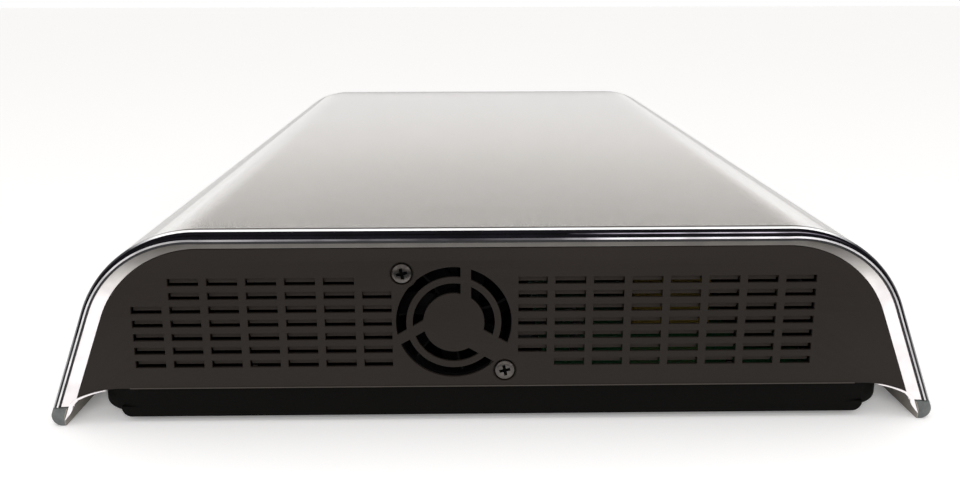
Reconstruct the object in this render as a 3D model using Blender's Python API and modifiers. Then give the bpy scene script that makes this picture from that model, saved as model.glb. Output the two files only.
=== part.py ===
"""Cable television recorder: a bridge-shaped set-top box under a clear shell.

Metres, +Z up. The origin is on the floor below the middle. +X points to the fan end, -Y is the front.
"""

from math import asin, cos, pi, radians, sin, sqrt, tan

import bmesh
import bpy
from mathutils import Matrix, Vector

# Overall form
LENGTH = 0.370
HEIGHT = 0.058
TOP_HALF_WIDTH = 0.0823
SHOULDER_RADIUS = 0.036
FLARE_ANGLE = radians(20.7)
SHOULDER_STEPS = 9
SHOULDER_CENTRE_Z = HEIGHT - SHOULDER_RADIUS

# Gaps and working values
CLEARANCE = 0.0003
CUT_OVERRUN = 0.002
FUSE_DEPTH = 0.0005
WELD_DISTANCE = 0.00001
ROUND_STEPS = 16

# Clear shell and its foot strips
SHELL_WALL = 0.0040
STRIP_TOP_Z = 0.0055
STRIP_OUTER_RADIUS = 0.0030
STRIP_FLAT = 0.0010
STRIP_INNER_RISE = 0.0030
STRIP_ARC_STEPS = 6

# Inner cover
COVER_WALL = 0.0010
COVER_RECESS = 0.0008
COVER_LOW_Z = 0.0083

# End panels
PANEL_RECESS = 0.0005
PANEL_WALL = 0.0012
PANEL_BOTTOM_Z = 0.0112
PANEL_FLARE_WIDTH = 0.0130
PANEL_FLARE_STEPS = 6

# Vent slots of the end panels, counted from the front and from the top
VENT_FIRST_Y = -0.1022
VENT_PITCH_Y = 0.01085
VENT_WIDTH = 0.0086
VENT_HEIGHT = 0.0021
VENT_PITCH_Z = 0.00405
VENT_TOP_ROW_Z = 0.0418
VENT_TRIM = 0.0005
VENT_COLUMNS = 18
VENT_ROWS = 7
BAY_COLUMNS = (7, 8, 9)
VENT_EDGE_MARGIN = 0.0060
SCREW_SLOTS = {6: (0,), 10: (6,)}

# Fan and its grille
FAN_Y = -0.0115
FAN_Z = 0.0305
FAN_SIZE = 0.0350
FAN_DEPTH = 0.0100
FAN_HOLE_PITCH = 0.0290
FAN_HOLE_RADIUS = 0.0018
FAN_BORE_RADIUS = 0.0164
FAN_HUB_RADIUS = 0.0080
FAN_HUB_LENGTH = 0.0076
FAN_CARRIER_WALL = 0.0015
FAN_STRUTS = 3
FAN_STRUT_WIDTH = 0.0022
FAN_BLADES = 7
FAN_BLADE_RADIUS = 0.0157
FAN_BLADE_CHORD = 0.0080
FAN_BLADE_WALL = 0.0009
FAN_BLADE_PITCH = radians(48)
GRILLE_OUTER_RING = (0.0135, 0.01635)
GRILLE_INNER_RING = (0.0087, 0.0116)
GRILLE_SPOKE_ANGLES = (radians(90), radians(210), radians(330))
GRILLE_SPOKE_EDGES = ((0.00195, 0.00497), (0.00195, 0.00497), (-0.0023, 0.00455))
GRILLE_ARC_STEPS = 10
FAN_BOSS_RADIUS = 0.0046
FAN_BOSS_DEPTH = 0.0024
FAN_RECESS_RADIUS = 0.00325
FAN_RECESS_DEPTH = 0.0016

# Baffle plates behind the vent slots of the fan end
BAFFLE_SETBACK = 0.0025
BAFFLE_WALL = 0.0010
BAFFLE_RIM = 0.0012
BAFFLE_MARGIN = 0.0016

# Screws
SCREW_HEAD_RADIUS = 0.00285
SCREW_HEAD_HEIGHT = 0.0014
SCREW_HEAD_DOME = 0.0005
SCREW_SHANK_RADIUS = 0.0014
SCREW_CROSS_LENGTH = 0.0032
SCREW_CROSS_WIDTH = 0.0007
SCREW_CROSS_DEPTH = 0.0009
SCREW_STEPS = 12
FAN_SCREW_LENGTH = 0.0100
CASE_SCREW_LENGTH = 0.0120
DRIVE_SCREW_LENGTH = 0.0060

# Base tray
TRAY_INSET_X = 0.0003
TRAY_SIDE_GAP = 0.0033
TRAY_BOTTOM_Z = 0.0030
TRAY_WALL = 0.0012
TRAY_WALL_TOP_Z = 0.0110
POST_INSET_X = 0.0110
POST_CARD_GAP = 0.0055
POST_RADIUS = 0.0035
POST_SEAT_HEIGHT = 0.0050
PILOT_DEPTH = 0.0140
BOSS_RADIUS = 0.0030

# Cable bay in the back, with its connector plate
BAY_INSET_X = 0.0300
BAY_TOP_Z = 0.0380
REAR_PANEL_INSET = 0.0160
REAR_PANEL_WALL = 0.0012
REAR_PANEL_LAP = 0.0050
BEZEL_WALL = 0.0015
BEZEL_DEPTH = 0.0050

# Circuit boards
BOARD_WALL = 0.0016
BOARD_BOTTOM_Z = 0.0090
MAIN_BOARD_INSET_X = 0.0170
SUPPLY_BOARD_INSET_X = 0.0190
SUPPLY_BOARD_LENGTH = 0.0960
SUPPLY_BOARD_SETBACK = 0.0080
BOARD_GAP = 0.0100
BOARD_DRIVE_GAP = 0.0042
BOARD_REAR_GAP = 0.0015
BOARD_HOLE_INSET = 0.0050

# Rear sockets, by place along the back
SOCKET_REACH = 0.0012
TUNER_GAP = 0.0080
TUNER_SIZE = (0.0500, 0.0300, 0.0200)
RF_SPACING = 0.0240
RF_Z = 0.0215
RF_RADIUS = 0.0047
RF_BORE = 0.0024
RF_LENGTH = 0.0090
RF_FLANGE_RADIUS = 0.0060
RF_FLANGE_WALL = 0.0010
RF_BORE_DEPTH = 0.0070
NETWORK_PITCH = 0.0350
NETWORK_SIZE = (0.0160, 0.0200, 0.0135)
NETWORK_HOLLOW = (0.0118, 0.0125, 0.0082)
HDMI_PITCH = 0.0180
HDMI_SIZE = (0.0152, 0.0120, 0.0060)
HDMI_HOLLOW = (0.0140, 0.0090, 0.0046)
HDMI_TONGUE = (0.0110, 0.0060, 0.0012)
OPTICAL_PITCH = 0.0150
OPTICAL_SIZE = (0.0100, 0.0140, 0.0100)
OPTICAL_HOLLOW = (0.0062, 0.0080, 0.0062)
AUDIO_BLOCK_PITCH = 0.0230
AUDIO_SIZE = (0.0320, 0.0100, 0.0120)
AUDIO_PITCH = 0.0110
AUDIO_RADIUS = 0.0042
AUDIO_BORE = 0.0017
AUDIO_LENGTH = 0.0080
AUDIO_COUNT = 3
INLET_INSET_X = 0.0450
INLET_SIZE = (0.0280, 0.0220, 0.0200)
INLET_HOLLOW = (0.0240, 0.0160, 0.0160)
INLET_PIN = (0.0020, 0.0090, 0.0040)
INLET_PIN_PITCH = 0.0070
INLET_PIN_RISE = 0.0020
SWITCH_PITCH = 0.0290
SWITCH_SIZE = (0.0190, 0.0160, 0.0130)
SWITCH_WALL = 0.0015
ROCKER_PIVOT_DEPTH = 0.0030
ROCKER_HEEL_SHARE = 0.7
ROCKER_TILT = radians(11)

# Parts on the boards
HEATSINK_PITCH = 0.0260
HEATSINK_INSET_Y = 0.0360
HEATSINK_SIZE = 0.0320
HEATSINK_HEIGHT = 0.0120
HEATSINK_BASE = 0.0025
HEATSINK_FINS = 7
HEATSINK_FIN_WALL = 0.0014
TRANSFORMER_INSET_X = 0.0550
TRANSFORMER_INSET_Y = 0.0400
TRANSFORMER_SIZE = (0.0320, 0.0260, 0.0240)
TRANSFORMER_BEVEL = 0.0020
CAPACITOR_INSET_X = 0.0200
CAPACITOR_RADIUS = 0.0090
CAPACITOR_HEIGHT = 0.0300
CAPACITOR_EDGE = 0.0010

# Card reader and card at the far end
CARD_INSET_Y = 0.0300
CARD_Z = 0.0144
CARD_WIDTH = 0.0540
CARD_LENGTH = 0.0856
CARD_WALL = 0.0008
CARD_CORNER = 0.0030
CARD_CORNER_STEPS = 4
CARD_PROUD = 0.0002
CARD_GAP = 0.0004
READER_WIDTH = 0.0580
READER_LENGTH = 0.0620
READER_TOP_Z = 0.0180
CARD_SLOT_MARGIN = 0.0008

# Side socket and its flap at the far end
FLAP_WIDTH = 0.0240
FLAP_HEIGHT = 0.0140
FLAP_WALL = 0.0012
FLAP_BARREL_RADIUS = 0.0014
FLAP_PIN_RADIUS = 0.0007
FLAP_PIN_SEAT = 0.0008
FLAP_CENTRE_Z = 0.0270
SLEEVE_WALL = 0.0012
SLEEVE_DEPTH = 0.0060
SIDE_SOCKET_SIZE = (0.0140, 0.0130, 0.0068)
SIDE_SOCKET_HOLLOW = (0.0110, 0.0120, 0.0052)
SIDE_SOCKET_TONGUE = (0.0080, 0.0100, 0.0018)

# Front slope: window, board, button
SLOPE_Z = 0.0230
WINDOW_X = -0.0300
WINDOW_WIDTH = 0.0900
WINDOW_HEIGHT = 0.0140
MODULE_MARGIN = 0.0060
FRONT_BOARD_WINDOW_LAP = 0.0150
FRONT_BOARD_BUTTON_LAP = 0.0180
FRONT_BOARD_HEIGHT = 0.0180
FRONT_BOARD_DEPTH = 0.0125
BUTTON_X = 0.0300
BUTTON_RADIUS = 0.0045
BUTTON_PROUD = 0.0004
BUTTON_FLANGE_RADIUS = 0.0058
BUTTON_FLANGE_WALL = 0.0010
BUTTON_TRAVEL = 0.0008
BUTTON_STEM_RADIUS = 0.0020
SWITCH_TACT_SIZE = 0.0060
SWITCH_TACT_HEIGHT = 0.0040
FRONT_POST_RADIUS = 0.0022
FRONT_POST_INSET = 0.0050

# Disk drive and its bracket
DRIVE_LENGTH = 0.1470
DRIVE_WIDTH = 0.1016
DRIVE_HEIGHT = 0.0247
DRIVE_INSET_X = 0.0215
DRIVE_INSET_Y = 0.0182
DRIVE_WALL = 0.0030
DRIVE_FLOOR = 0.0040
DRIVE_LID_WALL = 0.0014
DRIVE_LID_INSET = 0.0010
BRACKET_TOP_Z = 0.0110
BRACKET_WALL = 0.0012
BRACKET_INSET_X = 0.0060
DRIVE_BOARD_WALL = 0.0012
DRIVE_BOARD_INSET_X = 0.0140
DRIVE_BOARD_INSET_Y = 0.0100
DRIVE_SCREW_INSET_X = 0.0080
DRIVE_SCREW_INSET_Y = 0.0050
PLATTER_RADIUS = 0.0475
PLATTER_WALL = 0.0013
PLATTER_GAP = 0.0050
PLATTER_WELL_GAP = 0.0005
HUB_RADIUS = 0.0125
HUB_HEIGHT = 0.0110
ARM_PIVOT_X = 0.0460
ARM_PIVOT_Y = -0.0320
ARM_PIVOT_RADIUS = 0.0070
ARM_WALL = 0.0016
ARM_REACH = 0.0460
ARM_ROOT_WIDTH = 0.0100
ARM_TIP_WIDTH = 0.0030
ARM_TAIL = 0.0140
ARM_TAIL_WIDTH = 0.0180

# Leads
LEAD_RADIUS = 0.0015
LEAD_STUB = 0.0040
RIBBON_WIDTH = 0.0120
RIBBON_WALL = 0.0005
RIBBON_REACH = 0.0050
RIBBON_DRIVE_GAP = 0.0265
SUPPLY_LEAD_INSET_Y = 0.0200
SUPPLY_LEAD_RISE = 0.0150
SUPPLY_LEAD_INSET = 0.0080
FAN_LEAD_INSET_X = 0.0290
FAN_LEAD_INSET_Y = 0.0100
FAN_LEAD_Z = 0.0240
DRIVE_LEAD_RUN = 0.0200
DRIVE_LEAD_INSET_Y = 0.0120
DRIVE_LEAD_GAP = 0.0205
DRIVE_LEAD_Z = 0.0300

# Colours as sRGB shares, with roughness and metallic
FINISHES = {
    "clear_acrylic": ((0.90, 0.92, 0.93), 0.05, 0.0),
    "gloss_black": ((0.03, 0.03, 0.03), 0.15, 0.0),
    "satin_black": ((0.19, 0.18, 0.17), 0.50, 0.0),
    "smoked_window": ((0.08, 0.07, 0.08), 0.10, 0.0),
    "grey_elastomer": ((0.40, 0.38, 0.37), 0.60, 0.0),
    "black_steel": ((0.06, 0.06, 0.06), 0.45, 0.6),
    "zinc_steel": ((0.72, 0.73, 0.74), 0.35, 1.0),
    "nickel_plate": ((0.80, 0.79, 0.76), 0.25, 1.0),
    "cast_aluminium": ((0.66, 0.67, 0.68), 0.45, 1.0),
    "black_anodised": ((0.10, 0.10, 0.11), 0.40, 0.8),
    "board_green": ((0.07, 0.30, 0.18), 0.45, 0.0),
    "black_plastic": ((0.07, 0.07, 0.07), 0.45, 0.0),
    "ivory_plastic": ((0.86, 0.84, 0.78), 0.45, 0.0),
    "winding_tape": ((0.86, 0.72, 0.22), 0.50, 0.0),
    "sleeve_blue": ((0.14, 0.20, 0.36), 0.40, 0.0),
    "lead_jacket": ((0.10, 0.10, 0.10), 0.55, 0.0),
    "ribbon_grey": ((0.70, 0.70, 0.70), 0.55, 0.0),
    "card_white": ((0.88, 0.90, 0.92), 0.35, 0.0),
    "platter_mirror": ((0.85, 0.86, 0.88), 0.08, 1.0),
}

PART_COLLECTION = "cable_tv_recorder"
CUTTER_COLLECTION = "cutters"
PLANES = {
    "X": Matrix(((0, 0, 1), (1, 0, 0), (0, 1, 0))),
    "Y": Matrix(((1, 0, 0), (0, 0, -1), (0, 1, 0))),
    "Z": Matrix.Identity(3),
}
END_X = LENGTH / 2
PANEL_OFFSET = SHELL_WALL + COVER_WALL + 2 * CLEARANCE
PANEL_FACE_X = END_X - PANEL_RECESS
PANEL_BACK_X = PANEL_FACE_X - PANEL_WALL
TRAY_END_X = PANEL_BACK_X - TRAY_INSET_X
TRAY_FLOOR_Z = TRAY_BOTTOM_Z + TRAY_WALL
BOARD_TOP_Z = BOARD_BOTTOM_Z + BOARD_WALL
SOCKET_BOTTOM_Z = BOARD_TOP_Z + CLEARANCE
DRIVE_BOTTOM_Z = BRACKET_TOP_Z + 2 * CLEARANCE + DRIVE_BOARD_WALL
DRIVE_TOP_Z = DRIVE_BOTTOM_Z + DRIVE_HEIGHT
COVER_INNER_DEPTH = SHELL_WALL + CLEARANCE + COVER_WALL


def side_y(depth, z):
    """Half width at a height, at a depth below the outer surface of the flared side."""
    radius = SHOULDER_RADIUS - depth
    foot_z = SHOULDER_CENTRE_Z + radius * sin(FLARE_ANGLE)
    return TOP_HALF_WIDTH + radius * cos(FLARE_ANGLE) + (foot_z - z) * tan(FLARE_ANGLE)


# Places that follow the shell's length and width
TRAY_HALF_WIDTH = side_y(COVER_INNER_DEPTH, TRAY_WALL_TOP_Z) - TRAY_SIDE_GAP
POST_X = END_X - POST_INSET_X
BAY_HALF_LENGTH = END_X - BAY_INSET_X
REAR_PANEL_HALF_LENGTH = BAY_HALF_LENGTH + REAR_PANEL_LAP
REAR_PANEL_Y = TRAY_HALF_WIDTH - REAR_PANEL_INSET
REAR_FACE_Y = REAR_PANEL_Y + REAR_PANEL_WALL
SOCKET_MOUTH_Y = REAR_FACE_Y + SOCKET_REACH
DRIVE_CENTRE_X = DRIVE_INSET_X + DRIVE_LENGTH / 2 - END_X
DRIVE_CENTRE_Y = DRIVE_INSET_Y + DRIVE_WIDTH / 2 - TRAY_HALF_WIDTH
DRIVE_HIGH_X = DRIVE_CENTRE_X + DRIVE_LENGTH / 2
SUPPLY_BOARD_HIGH_X = END_X - SUPPLY_BOARD_INSET_X
SUPPLY_BOARD_X = (SUPPLY_BOARD_HIGH_X - SUPPLY_BOARD_LENGTH, SUPPLY_BOARD_HIGH_X)
MAIN_BOARD_X = (MAIN_BOARD_INSET_X - END_X, SUPPLY_BOARD_X[0] - BOARD_GAP)
MAIN_BOARD_Y = (DRIVE_CENTRE_Y + DRIVE_WIDTH / 2 + BOARD_DRIVE_GAP, REAR_PANEL_Y - BOARD_REAR_GAP)
SUPPLY_BOARD_Y = (MAIN_BOARD_Y[0] + SUPPLY_BOARD_SETBACK, MAIN_BOARD_Y[1])
TUNER_X = MAIN_BOARD_X[0] + READER_LENGTH + TUNER_GAP + TUNER_SIZE[0] / 2
NETWORK_X = TUNER_X + NETWORK_PITCH
HDMI_X = NETWORK_X + HDMI_PITCH
OPTICAL_X = HDMI_X + OPTICAL_PITCH
AUDIO_X = OPTICAL_X + AUDIO_BLOCK_PITCH
INLET_X = END_X - INLET_INSET_X
SWITCH_X = INLET_X - SWITCH_PITCH
HEATSINK_X = NETWORK_X + HEATSINK_PITCH
HEATSINK_Y = MAIN_BOARD_Y[0] + HEATSINK_INSET_Y
TRANSFORMER_X = SUPPLY_BOARD_X[0] + TRANSFORMER_INSET_X
TRANSFORMER_Y = REAR_PANEL_Y - TRANSFORMER_INSET_Y
CAPACITOR_X = SUPPLY_BOARD_X[0] + CAPACITOR_INSET_X
CAPACITOR_Y = TRANSFORMER_Y
CARD_Y = MAIN_BOARD_Y[0] + CARD_INSET_Y
POST_Y = CARD_Y + CARD_WIDTH / 2 + POST_CARD_GAP
FRONT_BOARD_LOW_X = WINDOW_X - WINDOW_WIDTH / 2 - FRONT_BOARD_WINDOW_LAP
FRONT_BOARD_X = (FRONT_BOARD_LOW_X, BUTTON_X + FRONT_BOARD_BUTTON_LAP)
RIBBON_X = DRIVE_HIGH_X + RIBBON_DRIVE_GAP
SUPPLY_LEAD_Y = REAR_PANEL_Y - SUPPLY_LEAD_INSET_Y
FAN_LEAD_X = END_X - FAN_LEAD_INSET_X
FAN_LEAD_Y = SUPPLY_BOARD_Y[0] + FAN_LEAD_INSET_Y
DRIVE_LEAD_X = DRIVE_HIGH_X + DRIVE_LEAD_GAP
DRIVE_LEAD_Y = MAIN_BOARD_Y[0] + DRIVE_LEAD_INSET_Y


def clear_scene():
    for item in list(bpy.data.objects):
        bpy.data.objects.remove(item, do_unlink=True)


def collection(name):
    group = bpy.data.collections.get(name)
    if group is None:
        group = bpy.data.collections.new(name)
        bpy.context.scene.collection.children.link(group)
    return group


def linear(share):
    if share <= 0.04045:
        return share / 12.92
    return ((share + 0.055) / 1.055) ** 2.4


def finish(name):
    material = bpy.data.materials.get(name)
    if material is None:
        colour, roughness, metallic = FINISHES[name]
        material = bpy.data.materials.new(name)
        material.use_nodes = True
        shader = material.node_tree.nodes["Principled BSDF"]
        shader.inputs["Base Color"].default_value = (*[linear(share) for share in colour], 1)
        shader.inputs["Roughness"].default_value = roughness
        shader.inputs["Metallic"].default_value = metallic
    return material


def place(name, mesh, material, matrix=None):
    """Add a mesh as a part, or as a hidden cutter when it has no material."""
    item = bpy.data.objects.new(name, mesh)
    if matrix is not None:
        item.matrix_world = matrix
    if material is None:
        item.display_type = "WIRE"
        item.hide_render = True
        collection(CUTTER_COLLECTION).objects.link(item)
    else:
        mesh.materials.clear()
        mesh.materials.append(finish(material))
        collection(PART_COLLECTION).objects.link(item)
    return item


def box(name, low, high, material=None, matrix=None, bevel=0):
    """A box between two corners, with rounded edges when it has a bevel."""
    low = Vector(low)
    high = Vector(high)
    bm = bmesh.new()
    bmesh.ops.create_cube(bm, size=1)
    bmesh.ops.scale(bm, vec=high - low, verts=bm.verts)
    bmesh.ops.translate(bm, vec=(low + high) / 2, verts=bm.verts)
    mesh = bpy.data.meshes.new(name)
    bm.to_mesh(mesh)
    bm.free()
    item = place(name, mesh, material, matrix)
    if bevel:
        rounding = item.modifiers.new("edges", "BEVEL")
        rounding.width = bevel
        rounding.segments = 2
    return item


def boxes(name, corner_pairs, material=None, matrix=None):
    """Several separate boxes in one mesh."""
    bm = bmesh.new()
    for low, high in corner_pairs:
        low = Vector(low)
        high = Vector(high)
        made = bmesh.ops.create_cube(bm, size=1)["verts"]
        bmesh.ops.scale(bm, vec=high - low, verts=made)
        bmesh.ops.translate(bm, vec=(low + high) / 2, verts=made)
    mesh = bpy.data.meshes.new(name)
    bm.to_mesh(mesh)
    bm.free()
    return place(name, mesh, material, matrix)


def rods(name, centres, radius, low, high, axis="Z", material=None, matrix=None, steps=ROUND_STEPS):
    """Separate cylinders along one axis; each centre holds the two other coordinates."""
    bm = bmesh.new()
    for first, second in centres:
        made = bmesh.ops.create_cone(
            bm, cap_ends=True, segments=steps, radius1=radius, radius2=radius, depth=high - low
        )["verts"]
        bmesh.ops.translate(bm, vec=(first, second, (low + high) / 2), verts=made)
    mesh = bpy.data.meshes.new(name)
    bm.to_mesh(mesh)
    bm.free()
    turn = PLANES[axis].to_4x4()
    if axis == "Y":
        turn = turn @ Matrix.Scale(-1, 4, (0, 0, 1))
        mesh.flip_normals()
    mesh.transform(turn)
    mesh.shade_smooth()
    mesh.set_sharp_from_angle(angle=pi / 4)
    return place(name, mesh, material, matrix)


def plate(name, loops, low, high, axis="X", material=None, matrix=None):
    """A flat outline with holes, extruded between two planes across the given axis."""
    curve = bpy.data.curves.new(name, "CURVE")
    curve.dimensions = "2D"
    curve.fill_mode = "BOTH"
    curve.extrude = (high - low) / 2
    for loop in loops:
        spline = curve.splines.new("POLY")
        spline.points.add(len(loop) - 1)
        for point, (first, second) in zip(spline.points, loop):
            point.co = (first, second, 0, 1)
        spline.use_cyclic_u = True
    guide = bpy.data.objects.new(name, curve)
    collection(PART_COLLECTION).objects.link(guide)
    graph = bpy.context.evaluated_depsgraph_get()
    mesh = bpy.data.meshes.new_from_object(guide.evaluated_get(graph))
    bpy.data.objects.remove(guide, do_unlink=True)
    bm = bmesh.new()
    bm.from_mesh(mesh)
    bmesh.ops.remove_doubles(bm, verts=bm.verts, dist=WELD_DISTANCE)
    bmesh.ops.dissolve_degenerate(bm, dist=WELD_DISTANCE, edges=bm.edges)
    bm.to_mesh(mesh)
    bm.free()
    middle = (low + high) / 2
    if axis == "Y":
        middle = -middle
    turn = PLANES[axis].to_4x4() @ Matrix.Translation((0, 0, middle))
    mesh.name = name
    if matrix is not None:
        turn = matrix @ turn
    return place(name, mesh, material, turn)


def turned(name, profile, material, matrix, steps=ROUND_STEPS):
    """A profile of (radius, height) points, top to bottom, turned round Z."""
    bm = bmesh.new()
    points = [bm.verts.new((radius, 0, height)) for radius, height in profile]
    for first, second in zip(points, points[1:]):
        bm.edges.new((first, second))
    if profile[0][0] > 0:
        bm.edges.new((points[-1], points[0]))
    mesh = bpy.data.meshes.new(name)
    bm.to_mesh(mesh)
    bm.free()
    item = place(name, mesh, material, matrix)
    screw = item.modifiers.new("turn", "SCREW")
    screw.axis = "Z"
    screw.steps = steps
    screw.render_steps = steps
    screw.use_merge_vertices = True
    screw.merge_threshold = WELD_DISTANCE
    screw.use_smooth_shade = True
    weld = item.modifiers.new("axis", "WELD")
    weld.merge_threshold = WELD_DISTANCE
    return item


def tube(name, points, radius, material):
    """A round lead through the given points, closed at both ends."""
    curve = bpy.data.curves.new(name, "CURVE")
    curve.dimensions = "3D"
    curve.bevel_depth = radius
    curve.bevel_resolution = 1
    curve.use_fill_caps = True
    spline = curve.splines.new("POLY")
    spline.points.add(len(points) - 1)
    for point, position in zip(spline.points, points):
        point.co = (*position, 1)
    curve.materials.append(finish(material))
    item = bpy.data.objects.new(name, curve)
    collection(PART_COLLECTION).objects.link(item)
    return item


def combine(target, tool, operation, solver):
    step = target.modifiers.new(tool.name, "BOOLEAN")
    step.operation = operation
    step.object = tool
    step.solver = solver


def cut(target, *tools, solver="EXACT"):
    for tool in tools:
        combine(target, tool, "DIFFERENCE", solver)


def fuse(target, *tools, solver="EXACT"):
    for tool in tools:
        combine(target, tool, "UNION", solver)


def rectangle(low_first, high_first, low_second, high_second):
    return [
        (low_first, low_second),
        (high_first, low_second),
        (high_first, high_second),
        (low_first, high_second),
    ]


def circle(first, second, radius, steps=ROUND_STEPS):
    angles = [2 * pi * step / steps for step in range(steps)]
    return [(first + radius * cos(angle), second + radius * sin(angle)) for angle in angles]


def smooth_route(corners, steps_per_leg=4):
    """Points of a smooth curve through hand-chosen corners."""
    ends = [corners[0], *corners, corners[-1]]
    route = [Vector(corners[0])]
    for index in range(1, len(ends) - 2):
        before, start, finish_point, after = (Vector(ends[index + step]) for step in (-1, 0, 1, 2))
        for step in range(1, steps_per_leg + 1):
            share = step / steps_per_leg
            pull_start = (finish_point - before) / 2
            pull_end = (after - start) / 2
            square = share * share
            cube = square * share
            point = start * (2 * cube - 3 * square + 1) + finish_point * (3 * square - 2 * cube)
            route.append(point + pull_start * (cube - 2 * square + share) + pull_end * (cube - square))
    return route


def flank_y(depth, z):
    """Half width at a height, at a depth below the outer surface, on the shoulder or the flared side."""
    radius = SHOULDER_RADIUS - depth
    rise = z - SHOULDER_CENTRE_Z
    if rise <= radius * sin(FLARE_ANGLE):
        return side_y(depth, z)
    return TOP_HALF_WIDTH + sqrt(max(radius * radius - rise * rise, 0))


def shoulder_z(depth, y):
    """Height of the shoulder at a half width, at a depth below the outer surface."""
    radius = SHOULDER_RADIUS - depth
    across = max(abs(y) - TOP_HALF_WIDTH, 0)
    return SHOULDER_CENTRE_Z + sqrt(radius * radius - across * across)


def arch(depth, low_z):
    """The bridge section from the front foot over the top to the back foot."""
    radius = SHOULDER_RADIUS - depth
    half = [(side_y(depth, low_z), low_z)]
    for step in range(SHOULDER_STEPS + 1):
        angle = FLARE_ANGLE + (pi / 2 - FLARE_ANGLE) * step / SHOULDER_STEPS
        y = TOP_HALF_WIDTH + radius * cos(angle)
        half.append((y, SHOULDER_CENTRE_Z + radius * sin(angle)))
    return [(-y, z) for y, z in half] + half[::-1]


def arch_band(outer_depth, inner_depth, low_z):
    return arch(outer_depth, low_z) + arch(inner_depth, low_z)[::-1]


def slope_matrix():
    """Front slope: local X along the box, local Y up the slope, local Z out of it."""
    turn = Matrix.Rotation(pi / 2 - FLARE_ANGLE, 4, "X")
    return Matrix.Translation((0, -side_y(0, SLOPE_Z), SLOPE_Z)) @ turn


def bay_cutter(name):
    return box(
        name,
        (-BAY_HALF_LENGTH, REAR_FACE_Y, -CUT_OVERRUN),
        (BAY_HALF_LENGTH, side_y(0, 0) + CUT_OVERRUN, BAY_TOP_Z),
    )


def strip_outline():
    """Section of the foot strip under the back wing: outer round, flat, inner slope."""
    centre_z = STRIP_OUTER_RADIUS
    centre_y = side_y(0, centre_z) - STRIP_OUTER_RADIUS / cos(FLARE_ANGLE)
    points = [(side_y(0, STRIP_TOP_Z), STRIP_TOP_Z)]
    for step in range(STRIP_ARC_STEPS + 1):
        angle = FLARE_ANGLE - (pi / 2 + FLARE_ANGLE) * step / STRIP_ARC_STEPS
        y = centre_y + STRIP_OUTER_RADIUS * cos(angle)
        points.append((y, centre_z + STRIP_OUTER_RADIUS * sin(angle)))
    points.append((centre_y - STRIP_FLAT, 0))
    points.append((side_y(SHELL_WALL, STRIP_INNER_RISE), STRIP_INNER_RISE))
    points.append((side_y(SHELL_WALL, STRIP_TOP_Z), STRIP_TOP_Z))
    return points


def make_shell():
    low_z = STRIP_TOP_Z + CLEARANCE
    shell = plate("clear_shell", [arch_band(0, SHELL_WALL, low_z)], -END_X, END_X, "X", "clear_acrylic")
    hole = rods(
        "shell_button_hole",
        [(BUTTON_X, 0)],
        BUTTON_RADIUS + CLEARANCE,
        -SHELL_WALL - CUT_OVERRUN,
        CUT_OVERRUN,
        matrix=slope_matrix(),
    )
    cut(shell, bay_cutter("shell_bay"), hole)
    outline = strip_outline()
    mirrored = [(-y, z) for y, z in outline[::-1]]
    plate("front_foot_strip", [mirrored], -END_X, END_X, "X", "grey_elastomer")
    plate("rear_foot_strip_right", [outline], BAY_HALF_LENGTH, END_X, "X", "grey_elastomer")
    plate("rear_foot_strip_left", [outline], -END_X, -BAY_HALF_LENGTH, "X", "grey_elastomer")


def make_cover():
    outer = SHELL_WALL + CLEARANCE
    half_length = END_X - COVER_RECESS
    band = arch_band(outer, outer + COVER_WALL, COVER_LOW_Z)
    cover = plate("top_cover", [band], -half_length, half_length, "X", "gloss_black")
    corners = [(x, y) for x in (-POST_X, POST_X) for y in (-POST_Y, POST_Y)]
    post_low = TRAY_FLOOR_Z + POST_SEAT_HEIGHT
    post_high = shoulder_z(COVER_INNER_DEPTH, POST_Y + POST_RADIUS) + FUSE_DEPTH
    posts = rods("cover_posts", corners, POST_RADIUS, post_low, post_high)
    pilots = rods(
        "cover_pilots",
        corners,
        SCREW_SHANK_RADIUS + CLEARANCE,
        post_low - CUT_OVERRUN,
        post_low + PILOT_DEPTH,
    )
    board_posts = rods(
        "board_posts",
        [(FRONT_BOARD_X[0] + FRONT_POST_INSET, 0), (FRONT_BOARD_X[1] - FRONT_POST_INSET, 0)],
        FRONT_POST_RADIUS,
        CLEARANCE - FRONT_BOARD_DEPTH,
        FUSE_DEPTH - COVER_INNER_DEPTH,
        matrix=slope_matrix(),
    )
    reach_x = WINDOW_WIDTH / 2 + CLEARANCE
    reach_y = WINDOW_HEIGHT / 2 + CLEARANCE
    window = box(
        "window_hole",
        (WINDOW_X - reach_x, -reach_y, -COVER_INNER_DEPTH - CUT_OVERRUN),
        (WINDOW_X + reach_x, reach_y, 0),
        matrix=slope_matrix(),
    )
    hole = rods(
        "cover_button_hole",
        [(BUTTON_X, 0)],
        BUTTON_RADIUS + CLEARANCE,
        -COVER_INNER_DEPTH - CUT_OVERRUN,
        0,
        matrix=slope_matrix(),
    )
    fuse(cover, posts, board_posts)
    cut(cover, pilots, bay_cutter("cover_bay"), window, hole)


def panel_outline():
    """End panel edge: the arch, with its lower corners flaring down beside the tray."""
    tip_y = side_y(PANEL_OFFSET, COVER_LOW_Z)
    drop = PANEL_BOTTOM_Z - COVER_LOW_Z
    flare = []
    for step in range(PANEL_FLARE_STEPS):
        share = 1 - (step + 1) / PANEL_FLARE_STEPS
        y = tip_y - PANEL_FLARE_WIDTH * (1 - share)
        flare.append((y, PANEL_BOTTOM_Z - drop * share * share))
    return arch(PANEL_OFFSET, COVER_LOW_Z) + flare + [(-y, z) for y, z in flare[::-1]]


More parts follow.
